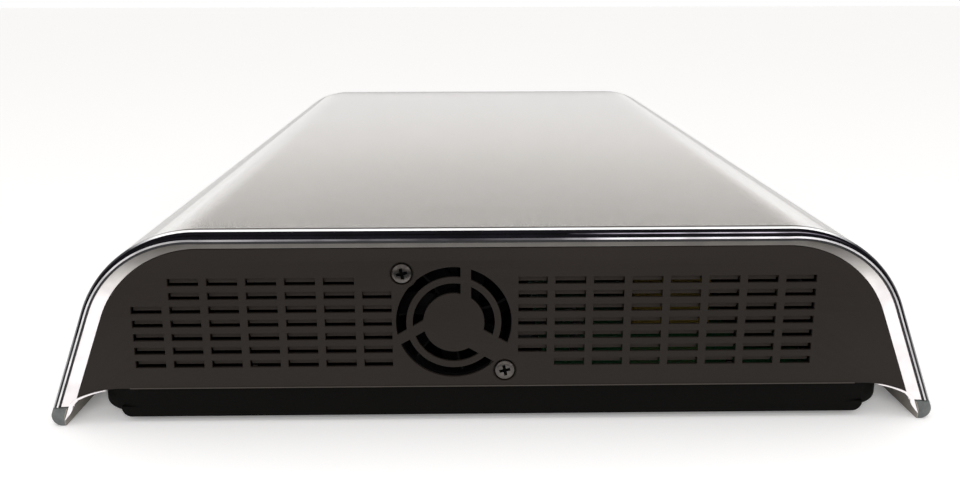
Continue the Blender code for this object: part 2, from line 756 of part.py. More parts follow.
def vent_span(column):
    """Start and end of a vent column across the panel, trimmed beside the middle bay."""
    start = VENT_FIRST_Y + column * VENT_PITCH_Y
    end = start + VENT_WIDTH
    if column + 1 in BAY_COLUMNS:
        end -= VENT_TRIM
    if column - 1 in BAY_COLUMNS:
        start += VENT_TRIM
    return start, end


def slot_rows(column):
    """Rows of a vent column that keep clear of the panel's rounded edge and of the fan's screws."""
    start, end = vent_span(column)
    reach = max(abs(start), abs(end)) + VENT_EDGE_MARGIN
    rows = []
    for row in range(VENT_ROWS):
        high = VENT_TOP_ROW_Z - row * VENT_PITCH_Z + VENT_HEIGHT
        if row not in SCREW_SLOTS.get(column, ()) and reach <= flank_y(PANEL_OFFSET, high):
            rows.append(row)
    return rows


def vent_loops():
    loops = []
    for column in range(VENT_COLUMNS):
        if column in BAY_COLUMNS:
            continue
        start, end = vent_span(column)
        for row in slot_rows(column):
            low = VENT_TOP_ROW_Z - row * VENT_PITCH_Z
            loops.append(rectangle(start, end, low, low + VENT_HEIGHT))
    return loops


def ring_slots(ring):
    """Openings of one grille ring, between three spokes whose edges run beside the centre."""
    inner, outer = ring
    loops = []
    for index, angle in enumerate(GRILLE_SPOKE_ANGLES):
        following = (index + 1) % len(GRILLE_SPOKE_ANGLES)
        near_edge = GRILLE_SPOKE_EDGES[index][0]
        far_edge = GRILLE_SPOKE_EDGES[following][1]
        next_angle = GRILLE_SPOKE_ANGLES[following]
        if next_angle < angle:
            next_angle += 2 * pi
        loop = []
        for radius, backwards in ((outer, False), (inner, True)):
            start = angle - asin(near_edge / radius)
            end = next_angle - asin(far_edge / radius)
            steps = [start + (end - start) * step / GRILLE_ARC_STEPS for step in range(GRILLE_ARC_STEPS + 1)]
            if backwards:
                steps.reverse()
            loop += [(FAN_Y + radius * cos(turn), FAN_Z + radius * sin(turn)) for turn in steps]
        loops.append(loop)
    return loops


def fan_screw_centres():
    reach = FAN_HOLE_PITCH / 2
    return [(FAN_Y - reach, FAN_Z + reach), (FAN_Y + reach, FAN_Z - reach)]


def make_fan_end():
    loops = [panel_outline()] + vent_loops()
    loops += ring_slots(GRILLE_OUTER_RING) + ring_slots(GRILLE_INNER_RING)
    panel = plate("fan_end_panel", loops, PANEL_BACK_X, PANEL_FACE_X, "X", "satin_black")
    centres = fan_screw_centres()
    boss_back = PANEL_FACE_X - FAN_BOSS_DEPTH
    boss_front = PANEL_BACK_X + FUSE_DEPTH
    bosses = rods("fan_bosses", centres, FAN_BOSS_RADIUS, boss_back, boss_front, "X")
    recess_low = PANEL_FACE_X - FAN_RECESS_DEPTH
    recesses = rods(
        "fan_recesses", centres, FAN_RECESS_RADIUS, recess_low, PANEL_FACE_X + CUT_OVERRUN, "X"
    )
    holes = rods(
        "fan_holes",
        centres,
        SCREW_SHANK_RADIUS + CLEARANCE,
        boss_back - CUT_OVERRUN,
        PANEL_FACE_X + CUT_OVERRUN,
        "X",
    )
    fuse(panel, bosses, solver="MANIFOLD")
    cut(panel, recesses, holes, solver="MANIFOLD")
    for name, (y, z) in zip(("fan_screw_upper", "fan_screw_lower"), centres):
        make_screw(name, (recess_low + CLEARANCE, y, z), (1, 0, 0), FAN_SCREW_LENGTH)
    make_baffle("fan_end_baffle_front", range(0, BAY_COLUMNS[0]), -1)
    make_baffle("fan_end_baffle_rear", range(BAY_COLUMNS[-1] + 1, VENT_COLUMNS), 1)


def baffle_edge(low_y, high_y, low_z, high_z, inset, notch, side):
    """Baffle rectangle, stepped at its outer end where the shoulder leaves no room for slots."""
    left = low_y + inset
    right = high_y - inset
    bottom = low_z + inset
    top = high_z - inset
    if not notch:
        return rectangle(left, right, bottom, top)
    step_z = top - notch * VENT_PITCH_Z
    if side < 0:
        step_y = left + VENT_PITCH_Y
        return [(left, bottom), (right, bottom), (right, top), (step_y, top), (step_y, step_z), (left, step_z)]
    step_y = right - VENT_PITCH_Y
    return [(left, bottom), (right, bottom), (right, step_z), (step_y, step_z), (step_y, top), (left, top)]


def make_baffle(name, columns, side):
    """Louvre bars set back behind the slots, in a rim that meets the panel."""
    columns = [column for column in columns if slot_rows(column)]
    notch = slot_rows(columns[0 if side < 0 else -1])[0]
    low_y = vent_span(columns[0])[0] - BAFFLE_MARGIN
    high_y = vent_span(columns[-1])[1] + BAFFLE_MARGIN
    fan_reach = max(FAN_SIZE / 2, FAN_HOLE_PITCH / 2 + FAN_BOSS_RADIUS) + CLEARANCE
    if side < 0:
        high_y = min(high_y, FAN_Y - fan_reach)
    else:
        low_y = max(low_y, FAN_Y + fan_reach)
    low_z = VENT_TOP_ROW_Z - (VENT_ROWS - 1) * VENT_PITCH_Z - BAFFLE_MARGIN
    high_z = VENT_TOP_ROW_Z + VENT_HEIGHT + BAFFLE_MARGIN
    front = PANEL_FACE_X - BAFFLE_SETBACK
    outline = baffle_edge(low_y, high_y, low_z, high_z, 0, notch, side)
    inside = baffle_edge(low_y, high_y, low_z, high_z, BAFFLE_RIM, notch, side)
    gap = VENT_PITCH_Z - VENT_HEIGHT
    openings = []
    for row in range(VENT_ROWS - 1):
        high = VENT_TOP_ROW_Z - row * VENT_PITCH_Z
        start = low_y + BAFFLE_RIM
        end = high_y - BAFFLE_RIM
        if row < notch and side < 0:
            start += VENT_PITCH_Y
        elif row < notch:
            end -= VENT_PITCH_Y
        openings.append(rectangle(start, end, high - gap, high))
    bars = plate(name, [outline] + openings, front - BAFFLE_WALL, front, "X", "black_plastic")
    rim = plate(name + "_rim", [outline, inside], front - FUSE_DEPTH, PANEL_BACK_X - CLEARANCE)
    fuse(bars, rim)


def make_screw(name, seat, direction, length, material="black_steel"):
    """A cross-head screw: the head's underside is on the seat, the shank runs away from the direction."""
    matrix = Matrix.Translation(seat) @ Vector(direction).to_track_quat("Z", "Y").to_matrix().to_4x4()
    shoulder = SCREW_HEAD_HEIGHT - SCREW_HEAD_DOME
    profile = [
        (0, SCREW_HEAD_HEIGHT),
        (SCREW_HEAD_RADIUS * sqrt(1 / 2), SCREW_HEAD_HEIGHT),
        (SCREW_HEAD_RADIUS, shoulder),
        (SCREW_HEAD_RADIUS, 0),
        (SCREW_SHANK_RADIUS, 0),
        (SCREW_SHANK_RADIUS, -length),
        (0, -length),
    ]
    screw = turned(name, profile, material, matrix, SCREW_STEPS)
    long_half = SCREW_CROSS_LENGTH / 2
    short_half = SCREW_CROSS_WIDTH / 2
    bottom = SCREW_HEAD_HEIGHT - SCREW_CROSS_DEPTH
    top = SCREW_HEAD_HEIGHT + CUT_OVERRUN
    for arm, (half_x, half_y) in enumerate(((long_half, short_half), (short_half, long_half))):
        tool_name = name + "_cross_" + str(arm)
        cut(screw, box(tool_name, (-half_x, -half_y, bottom), (half_x, half_y, top), matrix=matrix))


def make_fan():
    frame_front = PANEL_FACE_X - FAN_BOSS_DEPTH - CLEARANCE
    frame_back = frame_front - FAN_DEPTH
    half = FAN_SIZE / 2
    reach = FAN_HOLE_PITCH / 2
    loops = [rectangle(FAN_Y - half, FAN_Y + half, FAN_Z - half, FAN_Z + half)]
    loops.append(circle(FAN_Y, FAN_Z, FAN_BORE_RADIUS, 2 * ROUND_STEPS))
    for side in (-1, 1):
        for rise in (-1, 1):
            loops.append(circle(FAN_Y + side * reach, FAN_Z + rise * reach, FAN_HOLE_RADIUS, ROUND_STEPS // 2))
    frame = plate("fan_frame", loops, frame_back, frame_front, "X", "black_plastic")
    centre = [(FAN_Y, FAN_Z)]
    carrier = rods("fan_carrier", centre, FAN_HUB_RADIUS, frame_back, frame_back + FAN_CARRIER_WALL, "X")
    fuse(frame, carrier)
    for index in range(FAN_STRUTS):
        turn = Matrix.Rotation(2 * pi * index / FAN_STRUTS + pi / 2, 4, "X")
        strut = box(
            "fan_strut_" + str(index),
            (frame_back, 0, -FAN_STRUT_WIDTH / 2),
            (frame_back + FAN_CARRIER_WALL, FAN_BORE_RADIUS + FUSE_DEPTH, FAN_STRUT_WIDTH / 2),
            matrix=Matrix.Translation((0, FAN_Y, FAN_Z)) @ turn,
        )
        fuse(frame, strut)
    hub_back = frame_back + FAN_CARRIER_WALL + CLEARANCE
    place_rotor(hub_back)


def place_rotor(hub_back):
    """The impeller, with its origin at the back of its hub, on the fan's axis."""
    matrix = Matrix.Translation((hub_back, FAN_Y, FAN_Z))
    rotor = rods("fan_rotor", [(0, 0)], FAN_HUB_RADIUS, 0, FAN_HUB_LENGTH, "X", "black_plastic", matrix)
    for index in range(FAN_BLADES):
        turn = Matrix.Rotation(2 * pi * index / FAN_BLADES, 4, "X")
        lift = Matrix.Translation((FAN_HUB_LENGTH / 2, 0, 0))
        pitch = Matrix.Rotation(FAN_BLADE_PITCH, 4, "Z")
        blade = box(
            "fan_blade_" + str(index),
            (-FAN_BLADE_CHORD / 2, -FAN_BLADE_WALL / 2, FAN_HUB_RADIUS - 2 * FUSE_DEPTH),
            (FAN_BLADE_CHORD / 2, FAN_BLADE_WALL / 2, FAN_BLADE_RADIUS),
            matrix=matrix @ lift @ turn @ pitch,
        )
        fuse(rotor, blade)


def make_tray():
    """Folded base with studs under the boards and holes for the case screws."""
    tray = box(
        "base_tray",
        (-TRAY_END_X, -TRAY_HALF_WIDTH, TRAY_BOTTOM_Z),
        (TRAY_END_X, TRAY_HALF_WIDTH, TRAY_WALL_TOP_Z),
        "black_steel",
    )
    hollow = box(
        "tray_hollow",
        (TRAY_WALL - TRAY_END_X, TRAY_WALL - TRAY_HALF_WIDTH, TRAY_FLOOR_Z),
        (TRAY_END_X - TRAY_WALL, TRAY_HALF_WIDTH - TRAY_WALL, TRAY_WALL_TOP_Z + CUT_OVERRUN),
    )
    studs = []
    for board_x, board_y in ((MAIN_BOARD_X, MAIN_BOARD_Y), (SUPPLY_BOARD_X, SUPPLY_BOARD_Y)):
        for x in (board_x[0] + BOARD_HOLE_INSET, board_x[1] - BOARD_HOLE_INSET):
            for y in (board_y[0] + BOARD_HOLE_INSET, board_y[1] - BOARD_HOLE_INSET):
                studs.append((x, y))
    stud_low = TRAY_FLOOR_Z - FUSE_DEPTH
    board_studs = rods("board_studs", studs, BOSS_RADIUS, stud_low, BOARD_BOTTOM_Z - CLEARANCE)
    corners = [(x, y) for x in (-POST_X, POST_X) for y in (-POST_Y, POST_Y)]
    seat_top = TRAY_FLOOR_Z + POST_SEAT_HEIGHT - CLEARANCE
    post_seats = rods("post_seats", corners, POST_RADIUS, stud_low, seat_top)
    hole_radius = SCREW_SHANK_RADIUS + CLEARANCE
    holes = rods("case_screw_holes", corners, hole_radius, -CUT_OVERRUN, seat_top + CUT_OVERRUN)
    cut(tray, hollow)
    fuse(tray, board_studs, post_seats)
    cut(tray, holes)
    for index, (x, y) in enumerate(corners):
        seat = (x, y, TRAY_BOTTOM_Z - CLEARANCE)
        make_screw("case_screw_" + str(index + 1), seat, (0, 0, -1), CASE_SCREW_LENGTH)


def socket_box(name, x, size, material, hollow=None, bottom=SOCKET_BOTTOM_Z):
    """A socket body on the board, its mouth just outside the connector plate."""
    width, depth, height = size
    body = box(
        name,
        (x - width / 2, SOCKET_MOUTH_Y - depth, bottom),
        (x + width / 2, SOCKET_MOUTH_Y, bottom + height),
        material,
    )
    if hollow is not None:
        inner_width, inner_depth, inner_height = hollow
        centre_z = bottom + height / 2
        mouth = box(
            name + "_mouth",
            (x - inner_width / 2, SOCKET_MOUTH_Y - inner_depth, centre_z - inner_height / 2),
            (x + inner_width / 2, SOCKET_MOUTH_Y + CUT_OVERRUN, centre_z + inner_height / 2),
        )
        cut(body, mouth)
    return body


def socket_hole(x, size, bottom=SOCKET_BOTTOM_Z):
    """Opening of the connector plate round a socket body."""
    width = size[0]
    height = size[2]
    return rectangle(
        x - width / 2 - CLEARANCE,
        x + width / 2 + CLEARANCE,
        bottom - CLEARANCE,
        bottom + height + CLEARANCE,
    )


def make_rear():
    rf_places = [(TUNER_X + side * RF_SPACING / 2, RF_Z) for side in (-1, 1)]
    top_z = shoulder_z(COVER_INNER_DEPTH + CLEARANCE, REAR_FACE_Y)
    outline = rectangle(-REAR_PANEL_HALF_LENGTH, REAR_PANEL_HALF_LENGTH, TRAY_FLOOR_Z + CLEARANCE, top_z)
    loops = [outline]
    loops += [circle(x, z, RF_RADIUS + CLEARANCE) for x, z in rf_places]
    loops.append(socket_hole(NETWORK_X, NETWORK_SIZE))
    loops.append(socket_hole(HDMI_X, HDMI_SIZE))
    loops.append(socket_hole(OPTICAL_X, OPTICAL_SIZE))
    loops.append(socket_hole(AUDIO_X, AUDIO_SIZE))
    loops.append(socket_hole(INLET_X, INLET_SIZE))
    loops.append(socket_hole(SWITCH_X, SWITCH_SIZE))
    plate("rear_panel", loops, REAR_PANEL_Y, REAR_FACE_Y, "Y", "black_steel")
    outer = BAY_HALF_LENGTH + BEZEL_WALL
    bezel = [
        (-outer, TRAY_FLOOR_Z + CLEARANCE),
        (-BAY_HALF_LENGTH, TRAY_FLOOR_Z + CLEARANCE),
        (-BAY_HALF_LENGTH, BAY_TOP_Z),
        (BAY_HALF_LENGTH, BAY_TOP_Z),
        (BAY_HALF_LENGTH, TRAY_FLOOR_Z + CLEARANCE),
        (outer, TRAY_FLOOR_Z + CLEARANCE),
        (outer, BAY_TOP_Z + BEZEL_WALL),
        (-outer, BAY_TOP_Z + BEZEL_WALL),
    ]
    bezel_low = REAR_FACE_Y + CLEARANCE
    plate("rear_bezel", [bezel], bezel_low, bezel_low + BEZEL_DEPTH, "Y", "black_plastic")
    make_rear_sockets(rf_places)


def make_rear_sockets(rf_places):
    width, depth, height = TUNER_SIZE
    tuner_high_y = REAR_PANEL_Y - CLEARANCE
    box(
        "tuner_can",
        (TUNER_X - width / 2, tuner_high_y - depth, SOCKET_BOTTOM_Z),
        (TUNER_X + width / 2, tuner_high_y, SOCKET_BOTTOM_Z + height),
        "zinc_steel",
        bevel=FUSE_DEPTH,
    )
    for name, (x, z) in zip(("rf_input_socket", "rf_output_socket"), rf_places):
        root = tuner_high_y + CLEARANCE
        flange = REAR_PANEL_WALL + CLEARANCE
        length = flange + RF_LENGTH
        profile = [
            (RF_BORE, length),
            (RF_RADIUS, length),
            (RF_RADIUS, flange + CLEARANCE + RF_FLANGE_WALL),
            (RF_FLANGE_RADIUS, flange + CLEARANCE + RF_FLANGE_WALL),
            (RF_FLANGE_RADIUS, flange),
            (RF_RADIUS, flange),
            (RF_RADIUS, 0),
            (0, 0),
            (0, length - RF_BORE_DEPTH),
            (RF_BORE, length - RF_BORE_DEPTH),
        ]
        turn = Matrix.Translation((x, root, z)) @ Matrix.Rotation(-pi / 2, 4, "X")
        turned(name, profile, "nickel_plate", turn)
    socket_box("network_socket", NETWORK_X, NETWORK_SIZE, "nickel_plate", NETWORK_HOLLOW)
    hdmi = socket_box("hdmi_socket", HDMI_X, HDMI_SIZE, "nickel_plate", HDMI_HOLLOW)
    tongue_width, tongue_depth, tongue_wall = HDMI_TONGUE
    hdmi_z = SOCKET_BOTTOM_Z + HDMI_SIZE[2] / 2
    root = SOCKET_MOUTH_Y - HDMI_HOLLOW[1] - FUSE_DEPTH
    tongue = box(
        "hdmi_tongue",
        (HDMI_X - tongue_width / 2, root, hdmi_z - tongue_wall / 2),
        (HDMI_X + tongue_width / 2, root + tongue_depth, hdmi_z + tongue_wall / 2),
    )
    fuse(hdmi, tongue)
    socket_box("optical_socket", OPTICAL_X, OPTICAL_SIZE, "black_plastic", OPTICAL_HOLLOW)
    audio = socket_box("audio_sockets", AUDIO_X, AUDIO_SIZE, "black_plastic")
    centre_z = SOCKET_BOTTOM_Z + AUDIO_SIZE[2] / 2
    first = AUDIO_X - (AUDIO_COUNT - 1) * AUDIO_PITCH / 2
    places = [(first + index * AUDIO_PITCH, centre_z) for index in range(AUDIO_COUNT)]
    barrel_high = SOCKET_MOUTH_Y + AUDIO_LENGTH
    fuse(audio, rods("audio_barrels", places, AUDIO_RADIUS, SOCKET_MOUTH_Y - FUSE_DEPTH, barrel_high, "Y"))
    cut(audio, rods("audio_bores", places, AUDIO_BORE, SOCKET_MOUTH_Y, barrel_high + CUT_OVERRUN, "Y"))
    make_mains()


def make_mains():
    inlet = socket_box("mains_inlet", INLET_X, INLET_SIZE, "black_plastic", INLET_HOLLOW)
    pin_width, pin_depth, pin_height = INLET_PIN
    root = SOCKET_MOUTH_Y - INLET_HOLLOW[1] - FUSE_DEPTH
    centre_z = SOCKET_BOTTOM_Z + INLET_SIZE[2] / 2
    pins = []
    for index in (-1, 0, 1):
        x = INLET_X + index * INLET_PIN_PITCH
        z = centre_z - INLET_PIN_RISE
        if index == 0:
            z = centre_z + INLET_PIN_RISE
        pins.append(
            (
                (x - pin_width / 2, root, z - pin_height / 2),
                (x + pin_width / 2, root + pin_depth, z + pin_height / 2),
            )
        )
    fuse(inlet, boxes("inlet_pins", pins))
    width, depth, height = SWITCH_SIZE
    hollow = (width - 2 * SWITCH_WALL, depth - SWITCH_WALL, height - 2 * SWITCH_WALL)
    socket_box("mains_switch_body", SWITCH_X, SWITCH_SIZE, "black_plastic", hollow)
    make_rocker(hollow)


def make_rocker(hollow):
    """The rocker, turned about X, with its origin on its pivot inside the switch body."""
    half_width = hollow[0] / 2 - CLEARANCE
    centre_z = SOCKET_BOTTOM_Z + SWITCH_SIZE[2] / 2
    pivot_y = SOCKET_MOUTH_Y - ROCKER_PIVOT_DEPTH
    depth = ROCKER_PIVOT_DEPTH
    reach = (hollow[2] / 2 - CLEARANCE - depth * sin(ROCKER_TILT)) / cos(ROCKER_TILT)
    heel = reach * ROCKER_HEEL_SHARE
    outline = [
        (-depth, -heel),
        (depth, -reach),
        (depth * cos(ROCKER_TILT), 0),
        (depth, reach),
        (-depth, heel),
    ]
    matrix = Matrix.Translation((SWITCH_X, pivot_y, centre_z)) @ Matrix.Rotation(ROCKER_TILT, 4, "X")
    plate("mains_rocker", [outline], -half_width, half_width, "X", "black_plastic", matrix)


def make_boards():
    box(
        "main_board",
        (MAIN_BOARD_X[0], MAIN_BOARD_Y[0], BOARD_BOTTOM_Z),
        (MAIN_BOARD_X[1], MAIN_BOARD_Y[1], BOARD_TOP_Z),
        "board_green",
    )
    box(
        "power_supply_board",
        (SUPPLY_BOARD_X[0], SUPPLY_BOARD_Y[0], BOARD_BOTTOM_Z),
        (SUPPLY_BOARD_X[1], SUPPLY_BOARD_Y[1], BOARD_TOP_Z),
        "board_green",
    )
    make_heatsink()
    width, depth, height = TRANSFORMER_SIZE
    box(
        "transformer",
        (TRANSFORMER_X - width / 2, TRANSFORMER_Y - depth / 2, SOCKET_BOTTOM_Z),
        (TRANSFORMER_X + width / 2, TRANSFORMER_Y + depth / 2, SOCKET_BOTTOM_Z + height),
        "winding_tape",
        bevel=TRANSFORMER_BEVEL,
    )
    profile = [
        (0, CAPACITOR_HEIGHT),
        (CAPACITOR_RADIUS - CAPACITOR_EDGE, CAPACITOR_HEIGHT),
        (CAPACITOR_RADIUS, CAPACITOR_HEIGHT - CAPACITOR_EDGE),
        (CAPACITOR_RADIUS, 0),
        (0, 0),
    ]
    place_at = Matrix.Translation((CAPACITOR_X, CAPACITOR_Y, SOCKET_BOTTOM_Z))
    turned("supply_capacitor", profile, "sleeve_blue", place_at)


def make_heatsink():
    """Comb of fins in one outline, extruded across the board."""
    half = HEATSINK_SIZE / 2
    base_top = SOCKET_BOTTOM_Z + HEATSINK_BASE
    fin_top = SOCKET_BOTTOM_Z + HEATSINK_HEIGHT
    pitch = (HEATSINK_SIZE - HEATSINK_FIN_WALL) / (HEATSINK_FINS - 1)
    outline = [(HEATSINK_X + half, SOCKET_BOTTOM_Z)]
    for index in range(HEATSINK_FINS):
        right = HEATSINK_X + half - index * pitch
        left = right - HEATSINK_FIN_WALL
        if index > 0:
            outline.append((right, base_top))
        outline += [(right, fin_top), (left, fin_top)]
        if index < HEATSINK_FINS - 1:
            outline.append((left, base_top))
    outline.append((HEATSINK_X - half, SOCKET_BOTTOM_Z))
    plate("heatsink", [outline], HEATSINK_Y - half, HEATSINK_Y + half, "Y", "black_anodised")


def rounded_rectangle(length, width, radius, steps):
    """Outline that starts at X = 0 and runs along +X, centred on Y."""
    corners = [(length - radius, width / 2 - radius), (radius, width / 2 - radius)]
    corners += [(radius, radius - width / 2), (length - radius, radius - width / 2)]
    points = []
    for index, (x, y) in enumerate(corners):
        for step in range(steps + 1):
            angle = pi / 2 * (index + step / steps)
            points.append((x + radius * cos(angle), y + radius * sin(angle)))
    return points


def make_card_end():
    """Far end panel with the card slot, the side socket and its flap."""
    flap_half = FLAP_WIDTH / 2
    flap_low = FLAP_CENTRE_Z - FLAP_HEIGHT / 2
    flap_high = FLAP_CENTRE_Z + FLAP_HEIGHT / 2
    slot_half = CARD_WIDTH / 2 + CARD_SLOT_MARGIN
    slot_rise = CARD_WALL / 2 + CARD_SLOT_MARGIN
    loops = [panel_outline()] + vent_loops()
    loops.append(rectangle(CARD_Y - slot_half, CARD_Y + slot_half, CARD_Z - slot_rise, CARD_Z + slot_rise))
    panel = plate("card_end_panel", loops, -PANEL_FACE_X, -PANEL_BACK_X, "X", "satin_black")
    reach_y = flap_half + CLEARANCE
    sleeve_low = FUSE_DEPTH - PANEL_FACE_X
    sleeve_high = sleeve_low + SLEEVE_DEPTH
    sleeve = box(
        "flap_sleeve",
        (sleeve_low, FAN_Y - reach_y - SLEEVE_WALL, flap_low - CLEARANCE - SLEEVE_WALL),
        (sleeve_high, FAN_Y + reach_y + SLEEVE_WALL, flap_high + CLEARANCE + SLEEVE_WALL),
    )
    bay = box(
        "flap_bay",
        (-PANEL_FACE_X - CUT_OVERRUN, FAN_Y - reach_y, flap_low - CLEARANCE),
        (sleeve_high - SLEEVE_WALL, FAN_Y + reach_y, flap_high + CLEARANCE),
    )
    socket_y = SIDE_SOCKET_SIZE[0] / 2 + CLEARANCE
    socket_z = SIDE_SOCKET_SIZE[2] / 2 + CLEARANCE
    pocket = box(
        "side_socket_pocket",
        (sleeve_low, FAN_Y - socket_y, FLAP_CENTRE_Z - socket_z),
        (sleeve_high + CUT_OVERRUN, FAN_Y + socket_y, FLAP_CENTRE_Z + socket_z),
    )
    pin_x = FLAP_BARREL_RADIUS - PANEL_FACE_X
    pin_z = flap_low + FLAP_BARREL_RADIUS
    pin_reach = flap_half + CLEARANCE + FLAP_PIN_SEAT
    pin_bore = rods(
        "flap_pin_seats",
        [(pin_x, pin_z)],
        FLAP_PIN_RADIUS + CLEARANCE,
        FAN_Y - pin_reach,
        FAN_Y + pin_reach,
        "Y",
        steps=SCREW_STEPS,
    )
    fuse(panel, sleeve)
    cut(panel, bay, pocket, pin_bore)
    make_flap(pin_x, pin_z, pin_reach - CLEARANCE)
    make_side_socket(sleeve_high)
    make_card()


def make_flap(pin_x, pin_z, pin_reach):
    """The flap hangs on its pin; its origin is on the pin's axis."""
    matrix = Matrix.Translation((pin_x, FAN_Y, pin_z))
    half = FLAP_WIDTH / 2
    flap = rods("usb_flap", [(0, 0)], FLAP_BARREL_RADIUS, -half, half, "Y", "satin_black", matrix)
    leaf = box(
        "flap_leaf",
        (-FLAP_BARREL_RADIUS, -half, 0),
        (FLAP_WALL - FLAP_BARREL_RADIUS, half, FLAP_HEIGHT - FLAP_BARREL_RADIUS),
        matrix=matrix,
    )
    bore = rods(
        "flap_bore",
        [(0, 0)],
        FLAP_PIN_RADIUS + CLEARANCE,
        -half - CUT_OVERRUN,
        half + CUT_OVERRUN,
        "Y",
        matrix=matrix,
        steps=SCREW_STEPS,
    )
    fuse(flap, leaf)
    cut(flap, bore)
    rods(
        "usb_flap_pin",
        [(0, 0)],
        FLAP_PIN_RADIUS,
        -pin_reach,
        pin_reach,
        "Y",
        "zinc_steel",
        matrix,
        SCREW_STEPS,
    )


def make_side_socket(sleeve_high):
    width, depth, height = SIDE_SOCKET_SIZE
    low_x = sleeve_high - SLEEVE_WALL
    socket = box(
        "usb_socket_side",
        (low_x, FAN_Y - width / 2, FLAP_CENTRE_Z - height / 2),
        (low_x + depth, FAN_Y + width / 2, FLAP_CENTRE_Z + height / 2),
        "nickel_plate",
    )
    inner_width, inner_depth, inner_height = SIDE_SOCKET_HOLLOW
    inner_low = low_x - CUT_OVERRUN
    mouth = box(
        "side_mouth",
        (inner_low, FAN_Y - inner_width / 2, FLAP_CENTRE_Z - inner_height / 2),
        (low_x + inner_depth, FAN_Y + inner_width / 2, FLAP_CENTRE_Z + inner_height / 2),
    )
    tongue_width, tongue_depth, tongue_wall = SIDE_SOCKET_TONGUE
    tongue_high = low_x + inner_depth + FUSE_DEPTH
    tongue = box(
        "side_tongue",
        (tongue_high - tongue_depth, FAN_Y - tongue_width / 2, FLAP_CENTRE_Z - tongue_wall / 2),
        (tongue_high, FAN_Y + tongue_width / 2, FLAP_CENTRE_Z + tongue_wall / 2),
    )
    cut(socket, mouth)
    fuse(socket, tongue)


def make_card():
    low_x = -PANEL_FACE_X - CARD_PROUD
    matrix = Matrix.Translation((low_x, CARD_Y, CARD_Z))
    outline = rounded_rectangle(CARD_LENGTH, CARD_WIDTH, CARD_CORNER, CARD_CORNER_STEPS)
    half_wall = CARD_WALL / 2
    plate("smart_card", [outline], -half_wall, half_wall, "Z", "card_white", matrix)
    reader_low = MAIN_BOARD_X[0]
    reader = box(
        "card_reader",
        (reader_low, CARD_Y - READER_WIDTH / 2, SOCKET_BOTTOM_Z),
        (reader_low + READER_LENGTH, CARD_Y + READER_WIDTH / 2, READER_TOP_Z),
        "ivory_plastic",
    )
    slot_half = CARD_WIDTH / 2 + CARD_GAP
    slot = box(
        "reader_slot",
        (reader_low - CUT_OVERRUN, CARD_Y - slot_half, CARD_Z - half_wall - CARD_GAP),
        (reader_low + READER_LENGTH + CUT_OVERRUN, CARD_Y + slot_half, CARD_Z + half_wall + CARD_GAP),
    )
    cut(reader, slot)


def make_front():
    """Window, display module, board and button on the front slope."""
    matrix = slope_matrix()
    inner = -COVER_INNER_DEPTH
    board_high = -FRONT_BOARD_DEPTH
    window_half = WINDOW_WIDTH / 2
    box(
        "display_window",
        (WINDOW_X - window_half, -WINDOW_HEIGHT / 2, inner),
        (WINDOW_X + window_half, WINDOW_HEIGHT / 2, inner + COVER_WALL),
        "smoked_window",
        matrix,
    )
    module_half = window_half - MODULE_MARGIN
    box(
        "display_module",
        (WINDOW_X - module_half, -WINDOW_HEIGHT / 2, board_high + CLEARANCE),
        (WINDOW_X + module_half, WINDOW_HEIGHT / 2, inner - CLEARANCE),
        "black_plastic",
        matrix,
    )
    box(
        "front_board",
        (FRONT_BOARD_X[0], -FRONT_BOARD_HEIGHT / 2, board_high - BOARD_WALL),
        (FRONT_BOARD_X[1], FRONT_BOARD_HEIGHT / 2, board_high),
        "board_green",
        matrix,
    )
    half = SWITCH_TACT_SIZE / 2
    switch_top = board_high + CLEARANCE + SWITCH_TACT_HEIGHT
    box(
        "power_switch",
        (BUTTON_X - half, -half, board_high + CLEARANCE),
        (BUTTON_X + half, half, switch_top),
        "black_plastic",
        matrix,
    )
    flange_top = inner - CLEARANCE
    stem_low = switch_top + CLEARANCE + BUTTON_TRAVEL
    profile = [
        (0, BUTTON_PROUD),
        (BUTTON_RADIUS, BUTTON_PROUD),
        (BUTTON_RADIUS, flange_top),
        (BUTTON_FLANGE_RADIUS, flange_top),
        (BUTTON_FLANGE_RADIUS, flange_top - BUTTON_FLANGE_WALL),
        (BUTTON_STEM_RADIUS, flange_top - BUTTON_FLANGE_WALL),
        (BUTTON_STEM_RADIUS, stem_low),
        (0, stem_low),
    ]
    if stem_low >= flange_top - BUTTON_FLANGE_WALL:
        profile = profile[:5] + [(0, flange_top - BUTTON_FLANGE_WALL)]
    turned("power_button", profile, "gloss_black", matrix @ Matrix.Translation((BUTTON_X, 0, 0)))


